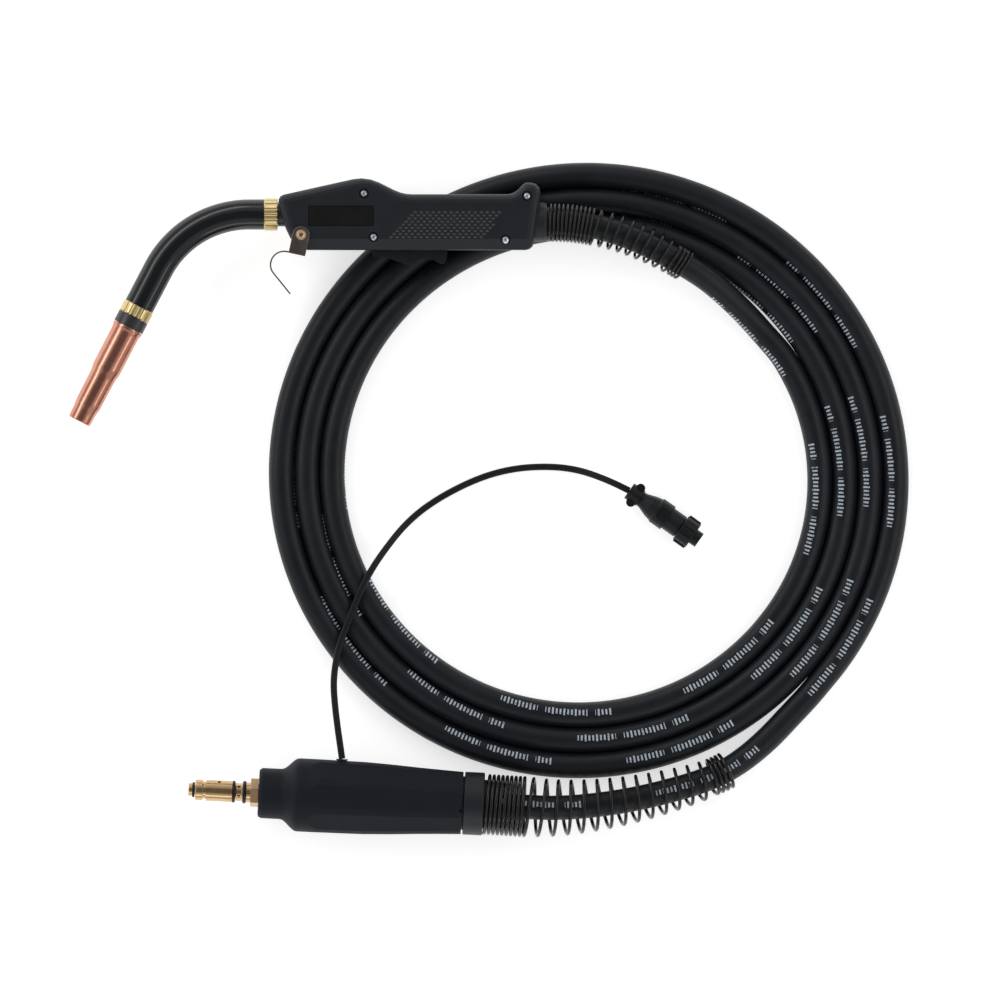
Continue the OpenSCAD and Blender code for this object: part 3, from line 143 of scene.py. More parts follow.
soft_strip("strip_behind_neck", 140, 32, 2.6, 0.34, 2.6)
soft_strip("strip_right", 0, 43, 1.6, 0.30, 2.0)
soft_strip("strip_front", -90, 26, 1.4, 0.30, 1.6)

tent = bpy.data.worlds.new("tent")
bpy.context.scene.world = tent
tent.use_nodes = True
tree = tent.node_tree
direction = node(tree, "TexCoord").outputs["Generated"]
height = node(tree, "SeparateXYZ", {"Vector": direction}).outputs["Z"]
wall_light, least_light = 0.42, 0.16
wall = spread(tree, height, 0.0, wall_light, 0.02, 0.10, "SMOOTHSTEP")
below_roof = spread(tree, height, 1.0, 0.0, 0.80, 0.93, "SMOOTHSTEP")
glow = node(tree, "Math", {0: wall, 1: below_roof, 2: least_light},
            operation="MULTIPLY_ADD").outputs[0]
tree.links.new(glow, tree.nodes["Background"].inputs["Strength"])
tree.nodes["Background"].inputs["Color"].default_value = (1, 1, 1, 1)

camera_lens = bpy.data.cameras.new("camera")
camera_lens.type = "ORTHO"
camera_lens.ortho_scale = view_width
camera = bpy.data.objects.new("camera", camera_lens)
camera.location = (*view_middle, camera_height)
bpy.context.scene.collection.objects.link(camera)
bpy.context.scene.camera = camera
bpy.context.scene.view_settings.view_transform = "Standard"

# ---------------------------------------------------------------- power cable
# One black rubber cable with the conductors, the gas hose and the wire liner inside. It leaves
# the handle's tail, lies in a flat coil and goes into the rear connector. Rows of white length
# ticks are printed along it.
cable_d = 18.4
handle_exit = (109, 214.7, 37.5)
cap_exit = (61.5, -221.9, 27.6)
coil_centre = np.array([135.5, 23.5, 0])
# The coil's first and last angle in degrees; in mm its mean radius at angle 0, its growth a turn
# and the swing of its oval
coil_start, coil_stop = 32, -40 - 3 * 360
coil_r, coil_pitch, coil_oval = 176.1, 19, 2.2
# Centres of the cable from the handle's tail and from the rear connector to the coil
front_route = [
    handle_exit, (127, 214, 37.4), (146, 211, 37), (165, 205.5, 36), (183, 198, 34),
    (199, 190, 31.5), (213, 182, 28.8), (230, 171, 24.5), (245, 158.2, 18.6), (258.8, 144.8, 12.8),
    (271.943, 130.134, 9.2)]
rear_route = [
    cap_exit, (91, -223.8, 27.5), (113, -224.8, 27), (136, -223.6, 26.1), (159, -220.8, 24.7),
    (182, -216.5, 22.7), (203, -211.3, 20.5), (224, -205, 17.8), (243, -196.8, 15),
    (260, -185.5, 12.4), (276.6, -170.9, 10.4), (290.7, -156, 9.4), (304.069, -141.966, 9.2)]
# Points on each span of a route, steps along the cable in mm and round the coil in degrees
span_points, cable_step, coil_step, cable_sides = 16, 4.0, 3.0, 36
# How much wider and thicker the jacket is in the coil, so that its turns touch, and how far from
# the cable's ends that starts and is full
squeeze, squeeze_start, squeeze_full = np.array([0.66, 0.3]), 190, 230
# Printed groups of ticks, with two spaces in each group. Every third tick is long. Half lengths
# of ticks and the row's height are shares of the way round the cable.
print_pitch, print_length, print_spaces = 142, 85, ((12, 18), (50, 56))
tick_pitch, tick_share, tick_half, long_tick_half = 2.9, 0.48, 0.034, 0.044
row_turn, row_middle, row_swing = math.radians(53), 0.10, 0.15
print_white = (0.50, 0.57, 0.64)


def catmull_rom(points, steps):
    """Smooth curve through the points: a cubic on each span, whose slope at a point is half the
    chord between that point's neighbours."""
    p = np.asarray(points, float)
    p = np.vstack([2 * p[0] - p[1], p, 2 * p[-1] - p[-2]])
    t = (np.arange(steps) / steps)[None, :, None]
    a, b, c, d = (p[k:len(p) - 3 + k, None] for k in range(4))
    bend = 3 * (b - c) + d - a
    spans = b + 0.5 * t * (c - a + t * (2 * a - 5 * b + 4 * c - d + t * bend))
    return np.vstack([spans.reshape(-1, 3), p[-2]])


def distances(line):
    """Distance along a line up to each of its points."""
    return np.concatenate([[0], np.cumsum(np.linalg.norm(np.diff(line, axis=0), axis=1))])


def points_at(line, reach):
    """Points of a line at the given distances along it."""
    along = distances(line)
    return np.stack([np.interp(reach, along, line[:, k]) for k in range(3)], axis=1)


def unit(v):
    """Vectors of length one."""
    return v / np.linalg.norm(v, axis=-1, keepdims=True)


def even_line(line, step):
    """The same line with its points a step apart, and its kinks rounded by taking a quarter, a
    half and a quarter of three neighbours, three times."""
    total = distances(line)[-1]
    p = points_at(line, np.linspace(0, total, int(round(total / step)) + 1))
    for _ in range(3):
        p[1:-1] = 0.25 * p[:-2] + 0.5 * p[1:-1] + 0.25 * p[2:]
    return p


def level_frame(line):
    """Heading, sideways and upward directions along a line that never stands upright."""
    heading = unit(np.gradient(line, axis=0))
    side = unit(np.cross(heading, [0, 0, 1]))
    return heading, side, np.cross(side, heading)


def coil_points(turn):
    """The coil's points at the given angles in degrees: a spiral on the table that grows by a
    pitch a turn, made oval by a cosine of twice the angle."""
    angle = np.radians(turn)
    radius = coil_r - coil_pitch * turn / 360 + coil_oval * np.cos(2 * angle)
    flat = np.stack([radius * np.cos(angle), radius * np.sin(angle), 0 * angle + cable_d / 2], 1)
    return coil_centre + flat


def skin(name, rings, material, body, uv=None, sharp=40, closed=False):
    """Mesh over rings of points, n rings of m points in mm, with flat ends or closed on itself.
    uv gives u for each ring; v runs once around."""
    n, m = rings.shape[:2]
    i, j = np.meshgrid(np.arange(n if closed else n - 1), np.arange(m), indexing="ij")
    k, h = (i + 1) % n, (j + 1) % m
    quads = np.stack([i * m + j, k * m + j, k * m + h, i * m + h], -1).reshape(-1, 4)
    ends = [] if closed else [list(range(m)), list(range((n - 1) * m, n * m))[::-1]]
    mesh = bpy.data.meshes.new(name)
    mesh.from_pydata(rings.reshape(-1, 3) * MM, [], quads.tolist() + ends)
    mesh.polygons.foreach_set("use_smooth", np.ones(len(mesh.polygons), bool))
    mesh.set_sharp_from_angle(angle=math.radians(sharp))
    if uv is not None:
        u = np.stack([uv[i], uv[k], uv[k], uv[i]], -1).reshape(-1)
        v = np.stack([j, j, j + 1, j + 1], -1).reshape(-1) / m
        layer = mesh.uv_layers.new(name="along").data
        flat = np.zeros(len(layer) * 2)
        flat[:2 * len(u)] = np.stack([u, v], 1).reshape(-1)
        layer.foreach_set("uv", flat)
    mesh.materials.append(material)
    made = bpy.data.objects.new(name, mesh)
    bpy.context.scene.collection.objects.link(made)
    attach(made, body)
    return made


def cord_rings(line, section):
    """Rings of a section of [sideways, upward] points, or of one section a ring, along a line."""
    _, side, up = level_frame(line)
    return line[:, None] + section[..., :1] * side[:, None] + section[..., 1:] * up[:, None]


def mapped(tree, coordinate, scale, turn=(0, 0, 0), centre=(0, 0, 0)):
    """A coordinate moved to a centre, turned and scaled, for a pattern on a piece."""
    moved = node(tree, "VectorMath", {0: coordinate, 1: centre}, operation="SUBTRACT")
    turned = node(tree, "Mapping", {"Vector": moved.outputs[0], "Rotation": turn})
    scaled = node(tree, "VectorMath", {0: turned.outputs[0], 1: scale}, operation="MULTIPLY")
    return scaled.outputs[0]


def bump(tree, shader, height, depth):
    """Relief of a height pattern, depth in metres."""
    relief = node(tree, "Bump", {"Height": height, "Distance": depth, "Strength": 1.0})
    tree.links.new(relief.outputs[0], shader.inputs["Normal"])


def calc(tree, operation, a, b=0.0):
    """One sum on two values."""
    return node(tree, "Math", {0: a, 1: b}, operation=operation).outputs[0]


def product(tree, *factors):
    """Product of several values."""
    total = factors[0]
    for factor in factors[1:]:
        total = calc(tree, "MULTIPLY", total, factor)
    return total


def printed_row(tree, place, along):
    """Ink of the printed row, 0 to 1: groups of ticks along the cable, worn thin in places. The
    row's height on the cable follows the cosine of the angle round the coil, from the top at the
    lower right to below the inner side at the upper left."""
    flat = node(tree, "SeparateXYZ", {"Vector": along})
    from_middle = node(tree, "VectorMath", {0: place, 1: coil_centre * MM}, operation="SUBTRACT")
    spot = node(tree, "SeparateXYZ", {"Vector": from_middle.outputs[0]})
    angle = calc(tree, "ARCTAN2", spot.outputs["Y"], spot.outputs["X"])
    fall = calc(tree, "COSINE", calc(tree, "ADD", angle, row_turn))
    row_at = node(tree, "Math", {0: fall, 1: row_swing, 2: row_middle}, operation="MULTIPLY_ADD")
    groups = calc(tree, "DIVIDE", flat.outputs["X"], print_pitch * MM)
    reach = calc(tree, "MULTIPLY", calc(tree, "FRACT", groups), print_pitch)
    inside = calc(tree, "LESS_THAN", reach, print_length)
    for start, stop in print_spaces:
        space = product(tree, calc(tree, "GREATER_THAN", reach, start),
                        calc(tree, "LESS_THAN", reach, stop))
        inside = calc(tree, "SUBTRACT", inside, space)
    tick = calc(tree, "LESS_THAN", calc(tree, "FRACT", calc(tree, "DIVIDE", reach, tick_pitch)),
                tick_share)
    thirds = calc(tree, "FRACT", calc(tree, "DIVIDE", reach, 3 * tick_pitch))
    is_long = calc(tree, "LESS_THAN", thirds, 1 / 3)
    half = node(tree, "Math", {0: is_long, 1: long_tick_half - tick_half, 2: tick_half},
                operation="MULTIPLY_ADD")
    off = calc(tree, "ABSOLUTE", calc(tree, "SUBTRACT", flat.outputs["Y"], row_at.outputs[0]))
    row = calc(tree, "LESS_THAN", off, half.outputs[0])
    worn = spread(tree, noise(tree, place, 700, 2.0), 0.25, 1.0, 0.3, 0.45)
    return product(tree, inside, tick, row, worn)


def cord_rubber(name, printed=False):
    """Black rubber jacket with drawn lines along it and a dusty sheen, printed or plain."""
    made, tree, shader = principled(name, Specular_IOR_Level=0.3)
    place = node(tree, "TexCoord").outputs["Object"]
    along = node(tree, "UVMap", uv_map="along").outputs[0]
    dust = spread(tree, noise(tree, place, 38, 5.0), 0, 1)
    colour = blend_colour(tree, dust, (0.0058, 0.0076, 0.0110), (0.0095, 0.0115, 0.0155))
    if printed:
        colour = blend_colour(tree, printed_row(tree, place, along), colour, print_white)
    tree.links.new(colour, shader.inputs["Base Color"])
    rough = spread(tree, noise(tree, place, 120, 3.0), 0.38, 0.48)
    tree.links.new(rough, shader.inputs["Roughness"])
    lines = noise(tree, mapped(tree, along, (14, 60, 1)), 1.0, 2.0)
    bump(tree, shader, calc(tree, "ADD", lines, noise(tree, place, 1400, 2.0)), 0.00003)
    return made


def round_section(d, sides):
    """Circle of diameter d as [sideways, upward] points."""
    angle = np.arange(sides) / sides * 2 * math.pi
    return d / 2 * np.stack([np.cos(angle), np.sin(angle)], 1)


cable_line = even_line(np.vstack([
    catmull_rom(front_route, span_points)[:-1],
    coil_points(np.arange(coil_start, coil_stop, -coil_step)),
    catmull_rom(rear_route, span_points)[::-1]]), cable_step)
cable_reach = distances(cable_line)
end_reach = np.minimum(cable_reach, cable_reach[-1] - cable_reach)
swell = np.clip((end_reach - squeeze_start) / (squeeze_full - squeeze_start), 0, 1)
cable_line[:, 2] = np.maximum(cable_line[:, 2], (cable_d + squeeze[1] * swell) / 2)
squeezed = 1 + swell[:, None, None] * squeeze / cable_d
cable_rings = cord_rings(cable_line, round_section(cable_d, cable_sides) * squeezed)
cable = skin("power_cable", cable_rings, cord_rubber("cable_rubber", printed=True), ROOT,
             cable_reach * MM)
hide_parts("cable_front_lead", "cable_coil", "cable_rear_lead")

# ---------------------------------------------------------------- control lead and plug
# A flat twin lead of two thin rubber-jacketed wires leaves the rear connector's side. It ends in a
# moulded round plug: a two-part clamp, a tapered back shell, the body and a turning coupling ring.
lead_w, lead_t = 5.0, 2.8
lead_exit = (-44.740, -187.889, 34.1)
lead_route = [
    lead_exit, (-46.3, -177, 33.2), (-48.4, -162, 31), (-50.2, -146, 28.2), (-51, -131, 25.4),
    (-49.5, -116, 22.8), (-46, -101, 21.2), (-40.5, -86, 20.5), (-34.5, -71, 20.5),
    (-28, -56, 20.7), (-20, -42, 18.5), (-10.5, -28.5, 12.6), (0, -15.5, 6), (12, -4, 2.6),
    (26, 6, 1.6), (41, 14.5, 1.5), (57, 21.8, 1.5), (73, 27, 1.5), (89, 30, 1.5), (105, 31, 1.5),
    (120, 30.4, 2.2), (134, 28, 4.4), (147, 23.8, 8), (159.3, 18.7, 11.2), (170.6, 13.2, 12.3)]
lead_points, lead_step, lead_sides = 12, 1.6, 32
# The groove between the wires: its depth and width as shares of a wire's radius
groove_depth, groove_width = 0.34, 0.32


def twin_section(width, thickness, sides):
    """Two touching round wires: a circle whose halves are drawn apart, with a groove between
    them that fades like a bell curve."""
    angle = np.arange(sides) / sides * 2 * math.pi
    r = thickness / 2
    x = (width / 2 - r) * np.tanh(3 * np.cos(angle)) + r * np.cos(angle)
    groove = 1 - groove_depth * np.exp(-(x / (groove_width * r)) ** 2)
    return np.stack([x, r * np.sin(angle) * groove], 1)


lead_line = even_line(catmull_rom(lead_route, lead_points), lead_step)
lead_reach = distances(lead_line)
lead_rings = cord_rings(lead_line, twin_section(lead_w, lead_t, lead_sides))
control_lead = skin("control_lead_flex", lead_rings, cord_rubber("lead_rubber"), ROOT,
                    lead_reach * MM, sharp=60)
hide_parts("control_lead")


def moulded(name, dark, light, low, high, grain=2600, depth=0.00002, specular=0.3):
    """Moulded plastic: slow shade changes, fine even grain, roughness from low to high."""
    made, tree, shader = principled(name, Specular_IOR_Level=specular)
    place = node(tree, "TexCoord").outputs["Object"]
    shade = spread(tree, noise(tree, place, 22, 4.0), 0, 1)
    tree.links.new(blend_colour(tree, shade, dark, light), shader.inputs["Base Color"])
    tree.links.new(spread(tree, noise(tree, place, 90, 4.0), low, high), shader.inputs["Roughness"])
    bump(tree, shader, noise(tree, place, grain, 2.0), depth)
    return made


def turned_metal(name, dark, light, low, high, turn=(0, 0, 0), centre=(0, 0, 0), pitch=1500,
                 depth=0.000002):
    """Worked metal: fine rings round an axis, slow tarnish, roughness from low to high. The axis
    goes through the centre, and turn brings it to X."""
    made, tree, shader = principled(name, Metallic=1.0)
    place = node(tree, "TexCoord").outputs["Object"]
    rings = noise(tree, mapped(tree, place, (pitch, 25, 25), turn, centre), 1.0, 2.0)
    tarnish = spread(tree, noise(tree, place, 60, 4.0), 0, 1)
    tree.links.new(blend_colour(tree, tarnish, dark, light), shader.inputs["Base Color"])
    tree.links.new(spread(tree, rings, low, high), shader.inputs["Roughness"])
    bump(tree, shader, rings, depth)
    return made


def finish(material, *names):
    """Gives CAD nodes their material."""
    for name in names:
        nodes[name].data.materials.clear()
        nodes[name].data.materials.append(material)


def softened(name, piece, width, material, segments=2):
    """Copy of a CAD node with its doubles merged, its flat faces joined and its corners, which
    turn by more than 35 degrees, rounded over a width in mm."""
    corner = math.radians(35)
    mesh = nodes[name].data.copy()
    shape = bmesh.new()
    shape.from_mesh(mesh)
    bmesh.ops.remove_doubles(shape, verts=shape.verts, dist=0.001 * MM)
    bmesh.ops.dissolve_limit(shape, angle_limit=math.radians(1), verts=shape.verts,
                             edges=shape.edges)
    shape.to_mesh(mesh)
    shape.free()
    if "custom_normal" in mesh.attributes:
        mesh.attributes.remove(mesh.attributes["custom_normal"])
    mesh.polygons.foreach_set("use_smooth", np.ones(len(mesh.polygons), bool))
    mesh.set_sharp_from_angle(angle=corner)
    mesh.materials.clear()
    mesh.materials.append(material)
    made = bpy.data.objects.new(piece, mesh)
    bpy.context.scene.collection.objects.link(made)
    edge = made.modifiers.new("edge", "BEVEL")
    edge.width, edge.segments, edge.limit_method = width * MM, segments, "ANGLE"
    edge.angle_limit = corner
    edge.harden_normals = True
    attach(made, nodes[name]["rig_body"])
    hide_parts(name)
    return made


plug_plastic = moulded("plug_plastic", (0.0060, 0.0074, 0.0098), (0.0082, 0.0098, 0.0125),
                       0.34, 0.44)
plug_pieces = [
    softened("lead_clamp", "plug_clamp", 0.3, plug_plastic),
    softened("coupling_ring", "plug_coupling_ring", 0.3, plug_plastic)]
finish(plug_plastic, "plug_backshell", "plug_body", "plug_insert")
finish(turned_metal("black_steel", (0.03, 0.03, 0.03), (0.06, 0.06, 0.06), 0.3, 0.4),
       "clamp_screws", "clamp_set_screws")
# A thin gasket closes the joint between the back shell and the body. Its ends are measured along
# the plug, from the end of the lead.
plug_turn = math.radians(-35.4)
gasket_d, gasket_ends = 17.2, (35.69, 35.81)
plug_heading = np.array([math.cos(plug_turn), math.sin(plug_turn), 0])
gasket_line = np.array(lead_route[-1]) + np.outer(gasket_ends, plug_heading)
gasket_rubber = moulded("gasket_rubber", (0.006, 0.006, 0.006), (0.010, 0.010, 0.010), 0.4, 0.5)
gasket_rings = cord_rings(gasket_line, round_section(gasket_d, sides=48))
plug_pieces.append(skin("plug_gasket", gasket_rings, gasket_rubber, ROOT))
plug_pieces += [nodes[n] for n in ("clamp_screws", "plug_backshell", "plug_body", "plug_insert",
                                   "plug_contacts")]

# ---------------------------------------------------------------- bend springs
# Black-coated spring steel wire wound over the cable where it leaves the handle and the rear
# connector, so that it can't kink. The turns lie close on the seat, open out over the bend and
# close again on the cable.
# Rings a turn, sides of the wire, and how far each way along the cable a heading is measured
spring_rings, wire_sides, heading_span = 28, 12, 2
# Wire, first and last diameter; closed, open and end turns; their pitches; start along the cable
front_spring_shape = (2.2, 30, 26, 11, 8.5, 3, 3.05, 7.8, 2.95, 1.4)
rear_spring_shape = (2.7, 46, 29, 9, 14, 3.5, 3.3, 10.2, 3.7, 1.65)


def spring_line(shape, route):
    """Helix round a bent line: its advance per turn changes from closed to open to closed, and
    its radius shrinks evenly over the open turns. Returns its points and the line's headings."""
    wire, first, last, closed, opened, ends, pitch, wide, tail, start = shape
    turns = closed + opened + ends
    t = np.linspace(0, turns, int(turns * spring_rings) + 1)
    reach = (start + pitch * np.minimum(t, closed) + wide * np.clip(t - closed, 0, opened)
             + tail * np.maximum(0, t - closed - opened))
    share = np.clip((t - closed) / opened, 0, 1)
    radius = ((first + (last - first) * share - wire) / 2)[:, None]
    centre = points_at(route, reach)
    behind = points_at(route, np.maximum(0, reach - heading_span))
    heading = unit(points_at(route, reach + heading_span) - behind)
    side = unit(np.cross(heading, [0, 0, 1]))
    up = np.cross(side, heading)
    turn = (2 * math.pi * t)[:, None]
    return centre + radius * (np.cos(turn) * side + np.sin(turn) * up), heading


def wire_rings(line, axis, d, sides):
    """Round wire along a helix; each ring stands across the wire, square to the helix."""
    heading = unit(np.gradient(line, axis=0))
    across = unit(np.cross(heading, axis))
    out = np.cross(across, heading)
    angle = np.arange(sides) / sides * 2 * math.pi
    section = np.cos(angle)[:, None] * across[:, None] + np.sin(angle)[:, None] * out[:, None]
    return line[:, None] + d / 2 * section


def coated_wire():
    """Black oxide and oil on drawn wire: dark, glossy, with fine scuffs that show steel."""
    made, tree, shader = principled("black_spring_steel", Specular_IOR_Level=0.45)
    place = node(tree, "TexCoord").outputs["Object"]
    scuff = spread(tree, noise(tree, place, 420, 6.0), 0, 1, 0.6, 0.75)
    colour = blend_colour(tree, scuff, (0.004, 0.004, 0.005), (0.02, 0.02, 0.02))
    tree.links.new(colour, shader.inputs["Base Color"])
    rough = spread(tree, noise(tree, place, 200, 3.0), 0.11, 0.18)
    tree.links.new(rough, shader.inputs["Roughness"])
    bump(tree, shader, noise(tree, place, 1600, 3.0), 0.00001)
    return made


spring_steel = coated_wire()
for name, shape, route in (("front_bend_spring", front_spring_shape, front_route),
                           ("rear_bend_spring", rear_spring_shape, rear_route)):
    helix, axis = spring_line(shape, catmull_rom(route, span_points))
    rings = wire_rings(helix, axis, shape[0], wire_sides)
    spring = skin(name, rings, spring_steel, ROOT)
    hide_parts(name.replace("bend_", ""))

# ---------------------------------------------------------------- nozzle and contact tip
# The gas nozzle is drawn copper tube, swaged down to a waist and a mouth, with a rolled lip at the
# insulator. The contact tip and the inner neck tube are copper too.
# The neck's straight end: its turn, start and heading, and how far along it the nozzle's lip is
neck_bend = math.radians(62.5)
neck_start = np.array([-182.750, 178.855, 37.5])
neck_heading = -np.array([math.cos(neck_bend), math.sin(neck_bend), 0])
nozzle_at, profile_step, nozzle_sides = 48.5, 0.7, 96
# Profile as [distance from the lip, radius]: outside from the lip to the mouth, then the bore
nozzle_profile = [
    (0.1, 11.7), (0.5, 12.05), (1.7, 12.05), (2.4, 11.6), (3.4, 11.15), (6, 11.1), (35.2, 11.1),
    (37.2, 10.85), (39.8, 10.3), (41.8, 10.1), (64, 9.95), (66.5, 9.85), (69.4, 9.3), (71.4, 9.15),
    (79.6, 8.95), (80, 8.7), (80, 7.6), (79.7, 7.4), (70, 7.7), (66, 8.4), (41, 8.6), (36, 9.6),
    (0.3, 9.6), (0, 9.9), (0, 11.5)]


def revolved(name, profile, start, heading, sides, material, body):
    """Closed profile of [along, radius] points, turned about a level axis: each point is the
    start plus its way along the heading plus its radius times the cosine and sine of the turn."""
    loop = np.array([(s, r, 0) for s, r in profile + profile[:1]], float)
    loop = even_line(loop, profile_step)[:-1]
    turn = np.arange(sides) / sides * 2 * math.pi
    level = np.cross([0, 0, 1], heading)
    out = np.cos(turn)[:, None] * level + np.sin(turn)[:, None] * np.cross(heading, level)
    rings = start + loop[None, :, :1] * heading + loop[None, :, 1:2] * out[:, None]
    return skin(name, rings, material, body, sharp=70, closed=True)


copper = turned_metal("drawn_copper", (0.57, 0.25, 0.17), (0.67, 0.32, 0.23), 0.17, 0.24,
                      (0, 0, -math.pi - neck_bend), neck_start * MM, 500)
nozzle = revolved("gas_nozzle", nozzle_profile, neck_start + nozzle_at * neck_heading,
                  neck_heading, nozzle_sides, copper, "nozzle")
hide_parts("nozzle")
finish(copper, "contact_tip", "neck_tube", "cable_lug")

# ---------------------------------------------------------------- insulator, rings and neck
# A moulded insulator ring behind the nozzle, two fluted brass rings, and the glossy black sleeve
# shrunk over the bent neck tube between them.
finish(moulded("insulator_plastic", (0.020, 0.021, 0.024), (0.027, 0.027, 0.030), 0.30, 0.38,
               specular=0.6), "nozzle_insulator", "neck_bush")
finish(turned_metal("ring_brass", (0.70, 0.54, 0.24), (0.80, 0.64, 0.33), 0.28, 0.34,
                    pitch=150, depth=0.0000002),
       "neck_front_ring", "neck_rear_ring", "gas_diffuser", "neck_clamp")
finish(moulded("jacket_plastic", (0.0045, 0.0055, 0.0075), (0.0065, 0.0080, 0.0105), 0.12, 0.17,
               700, 0.000004, 0.5), "neck_jacket")

# ---------------------------------------------------------------- handle
# Two glass-filled nylon shells, moulded with a fine spark texture and held by four recessed
# screws. Rows of low ridges are moulded into both grip faces, and a blank plate is glued into the
# recess beside the hump.
# The handle's own origin, from which its ridges and plate are measured, and half its thickness
handle_at = np.array([-92.75, 220.3, 37.5])
handle_half = 18.5
handle_plastic = moulded("handle_plastic", (0.0068, 0.0097, 0.0145), (0.0086, 0.0117, 0.0165),
                         0.42, 0.5, specular=0.42)
finish(handle_plastic, "handle_upper_shell", "handle_lower_shell")

# One ridge: six base points and the two ends of its crest, as [x, y, z]
ridge_l, ridge_w, ridge_h, ridge_sunk = 3.7, 1.8, 0.6, 0.05
ridge_points = np.array([
    (-0.5, 0, 0), (-0.2, -0.5, 0), (0.2, -0.5, 0), (0.5, 0, 0), (0.2, 0.5, 0), (-0.2, 0.5, 0),
    (-0.14, 0, 1), (0.14, 0, 1)]) * [ridge_l, ridge_w, ridge_h + ridge_sunk]
ridge_faces = [(1, 2, 7, 6), (2, 3, 7), (3, 4, 7), (4, 5, 6, 7), (5, 0, 6), (0, 1, 6),
               (5, 4, 3, 2, 1, 0)]
# The grip field's lower and upper edge as [y, left x, right x], its margins inside them, and the
# steps between ridges and rows
field_low, field_high = (-18.3, 80.4, 157.4), (3.2, 98, 170)
margin_low, margin_high = 0.8, 1.5
ridge_step, row_step, cable_clearance = 4.5, 2.33, 7
# The ridges are rubbed smoother than the shells by hands and gloves; their lighter base colour is a
# painted highlight
worn_plastic_painted_highlight = moulded("worn_plastic_painted_highlight", (0.012, 0.015, 0.019), (0.015, 0.018, 0.022), 0.26, 0.32,
                       specular=0.6)


def grip_ridges(name, side):
    """Field of ridges on one grip face: rows a step apart, every other one shifted by half a
    ridge's step, kept between the field's slanting ends. On the lower face they leave room for
    the cable."""
    rows = np.arange(field_high[0] - margin_high, field_low[0] + margin_low, -row_step)
    x, y = np.meshgrid(np.arange(field_low[1], field_high[2], ridge_step), rows)
    x = x + ridge_step / 2 * (np.arange(len(rows)) % 2)[:, None]
    share = (y - field_low[0]) / (field_high[0] - field_low[0])
    low = field_low[1] + (field_high[1] - field_low[1]) * share + ridge_l / 2
    high = field_low[2] + (field_high[2] - field_low[2]) * share - ridge_l / 2
    kept = (x > low) & (x < high)
    at = np.stack([x[kept], y[kept], np.full(kept.sum(), handle_half - ridge_sunk)], 1)
    if side < 0:
        across = (at + handle_at)[:, None, :2] - cable_line[None, :, :2]
        at = at[np.linalg.norm(across, axis=2).min(1) > cable_clearance]
    points = at[:, None] + ridge_points
    points[..., 2] *= side
    faces = [tuple(8 * k + i for i in (f if side > 0 else f[::-1]))
             for k in range(len(at)) for f in ridge_faces]
    mesh = bpy.data.meshes.new(name)
    mesh.from_pydata((points + handle_at).reshape(-1, 3) * MM, [], faces)
    # The ridges' lighter colour than the shells is a painted highlight
    mesh.materials.append(worn_plastic_painted_highlight)
    made = bpy.data.objects.new(name, mesh)
    bpy.context.scene.collection.objects.link(made)
    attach(made, ROOT)


grip_ridges("grip_ridges_upper", 1)
grip_ridges("grip_ridges_lower", -1)

# The blank plate: corner, size, radius of its corners, bevel, and the levels of its two faces
plate_corner, plate_size, plate_r, plate_edge = (22.7, -8.4), (48.9, 14.8), 0.8, 0.2
plate_low, plate_high = handle_half - 0.79, handle_half - 0.25


def rounded_rectangle(corner, size, r, inset=0.0, steps=5):
    """Outline of a rectangle with round corners, moved inwards by inset, clockwise from above."""
    w, h = np.array(size) / 2 - r
    middle = np.array(corner) + np.array(size) / 2
    turn = np.radians(np.concatenate([np.linspace(q, q - 90, steps) for q in (90, 0, -90, -180)]))
    hub = np.repeat([(w, h), (w, -h), (-w, -h), (-w, h)], steps, axis=0)
    return middle + hub + (r - inset) * np.stack([np.cos(turn), np.sin(turn)], 1)


plate_rings = []
for z, inset in ((plate_low, 0), (plate_high - plate_edge, 0), (plate_high, plate_edge)):
    outline = rounded_rectangle(plate_corner, plate_size, plate_r, inset)
    plate_rings.append(np.insert(outline, 2, z, axis=1) + handle_at)
plate_black = moulded("plate_black", (0.0045, 0.0047, 0.0052), (0.0060, 0.0062, 0.0070), 0.32, 0.42,
                      1800, 0.00001)
skin("blank_plate", np.stack(plate_rings), plate_black, ROOT, sharp=30)

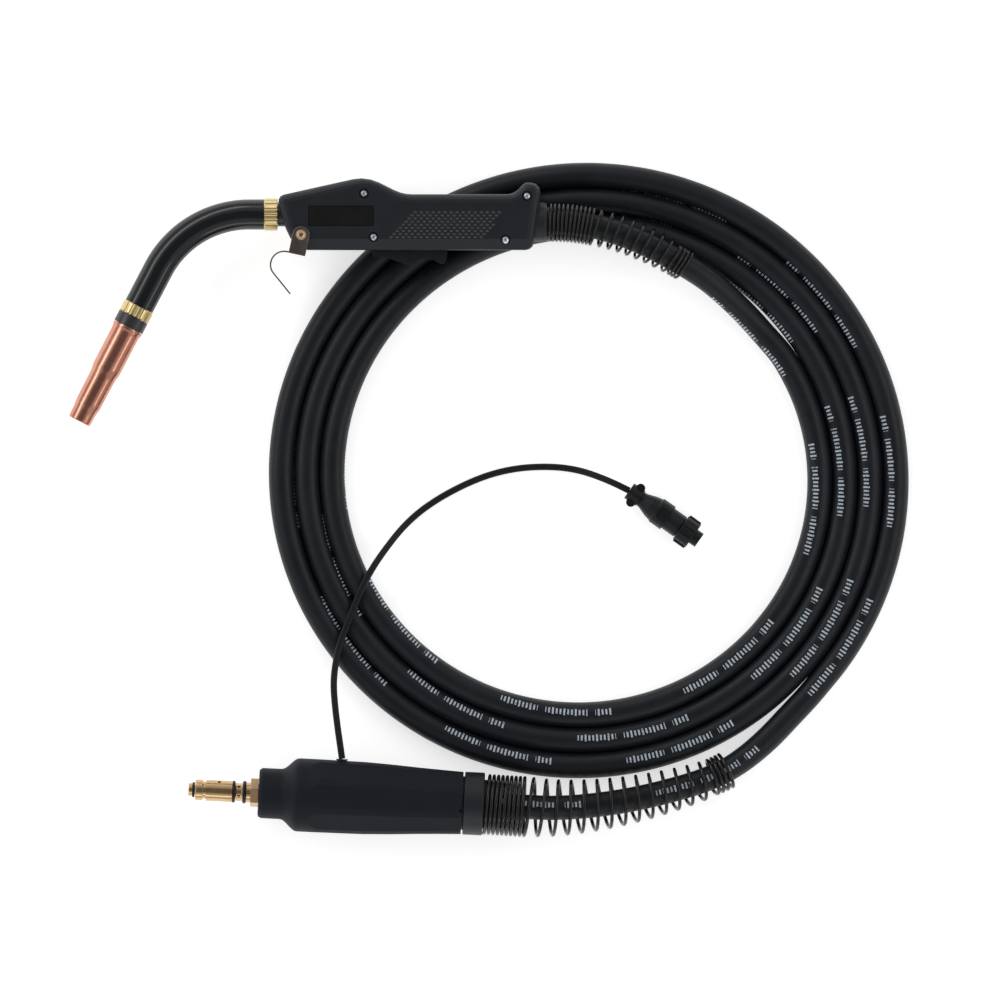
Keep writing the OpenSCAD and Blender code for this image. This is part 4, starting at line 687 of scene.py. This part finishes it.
zinc = turned_metal("zinc_plate", (0.66, 0.72, 0.78), (0.80, 0.85, 0.90), 0.24, 0.34, pitch=300)
finish(zinc, "handle_screws", "trigger_pin")
softened("handle_ferrule", "tail_ferrule", 0.4, handle_plastic)

# ---------------------------------------------------------------- trigger
# A moulded nylon lever on a steel pin, with finger hollows below, that presses a push switch
# inside the handle.
trigger_plastic = moulded("trigger_plastic", (0.0090, 0.0096, 0.0116), (0.0112, 0.0118, 0.0140),
                          0.38, 0.46)
softened("trigger", "trigger_lever", 0.5, trigger_plastic, 3)
finish(trigger_plastic, "trigger_switch", "switch_plunger")

# ---------------------------------------------------------------- hanging hook
# Bent from dark nickel-plated steel sheet: two ears beside the handle, the base between them and
# a strap that curls back under. A brass rivet through the handle lets it swing.
hook_steel = turned_metal("hook_steel", (0.24, 0.195, 0.17), (0.36, 0.31, 0.28), 0.22, 0.34,
                          pitch=120)
softened("hanging_hook", "hook_sheet", 0.35, hook_steel)
finish(turned_metal("rivet_brass", (0.62, 0.44, 0.26), (0.74, 0.56, 0.36), 0.2, 0.28, pitch=200),
       "hook_rivet")

# ---------------------------------------------------------------- rear connector
# A tapered nylon boot and its cap, closed round the crimped cable end. The brass power pin, its
# hex nut and the liner nut stick out in front, with three rubber rings on the pin.
pin_turn, pin_middle = math.radians(2.85), np.array([-137, -212, 27.6])
softened("boot_cap", "boot_end_cap", 0.4, handle_plastic)
finish(moulded("boot_plastic", (0.0088, 0.0115, 0.0165), (0.0108, 0.0138, 0.0185), 0.55, 0.62,
               specular=0.16), "rear_boot")
pin_brass = turned_metal("pin_brass", (0.56, 0.37, 0.19), (0.67, 0.47, 0.27), 0.16, 0.24,
                         (0, 0, pin_turn), pin_middle * MM, 700, 0.0000008)
softened("pin_nut", "hex_nut", 0.35, pin_brass)
finish(pin_brass, "power_pin", "liner_nut", "crimp_block", "plug_contacts")
finish(moulded("seal_rubber", (0.006, 0.006, 0.006), (0.010, 0.010, 0.010), 0.28, 0.36),
       "pin_o_rings", "lead_grommet")
finish(cord_rubber("cable_end_rubber"), "cable_end_front", "cable_end_rear")
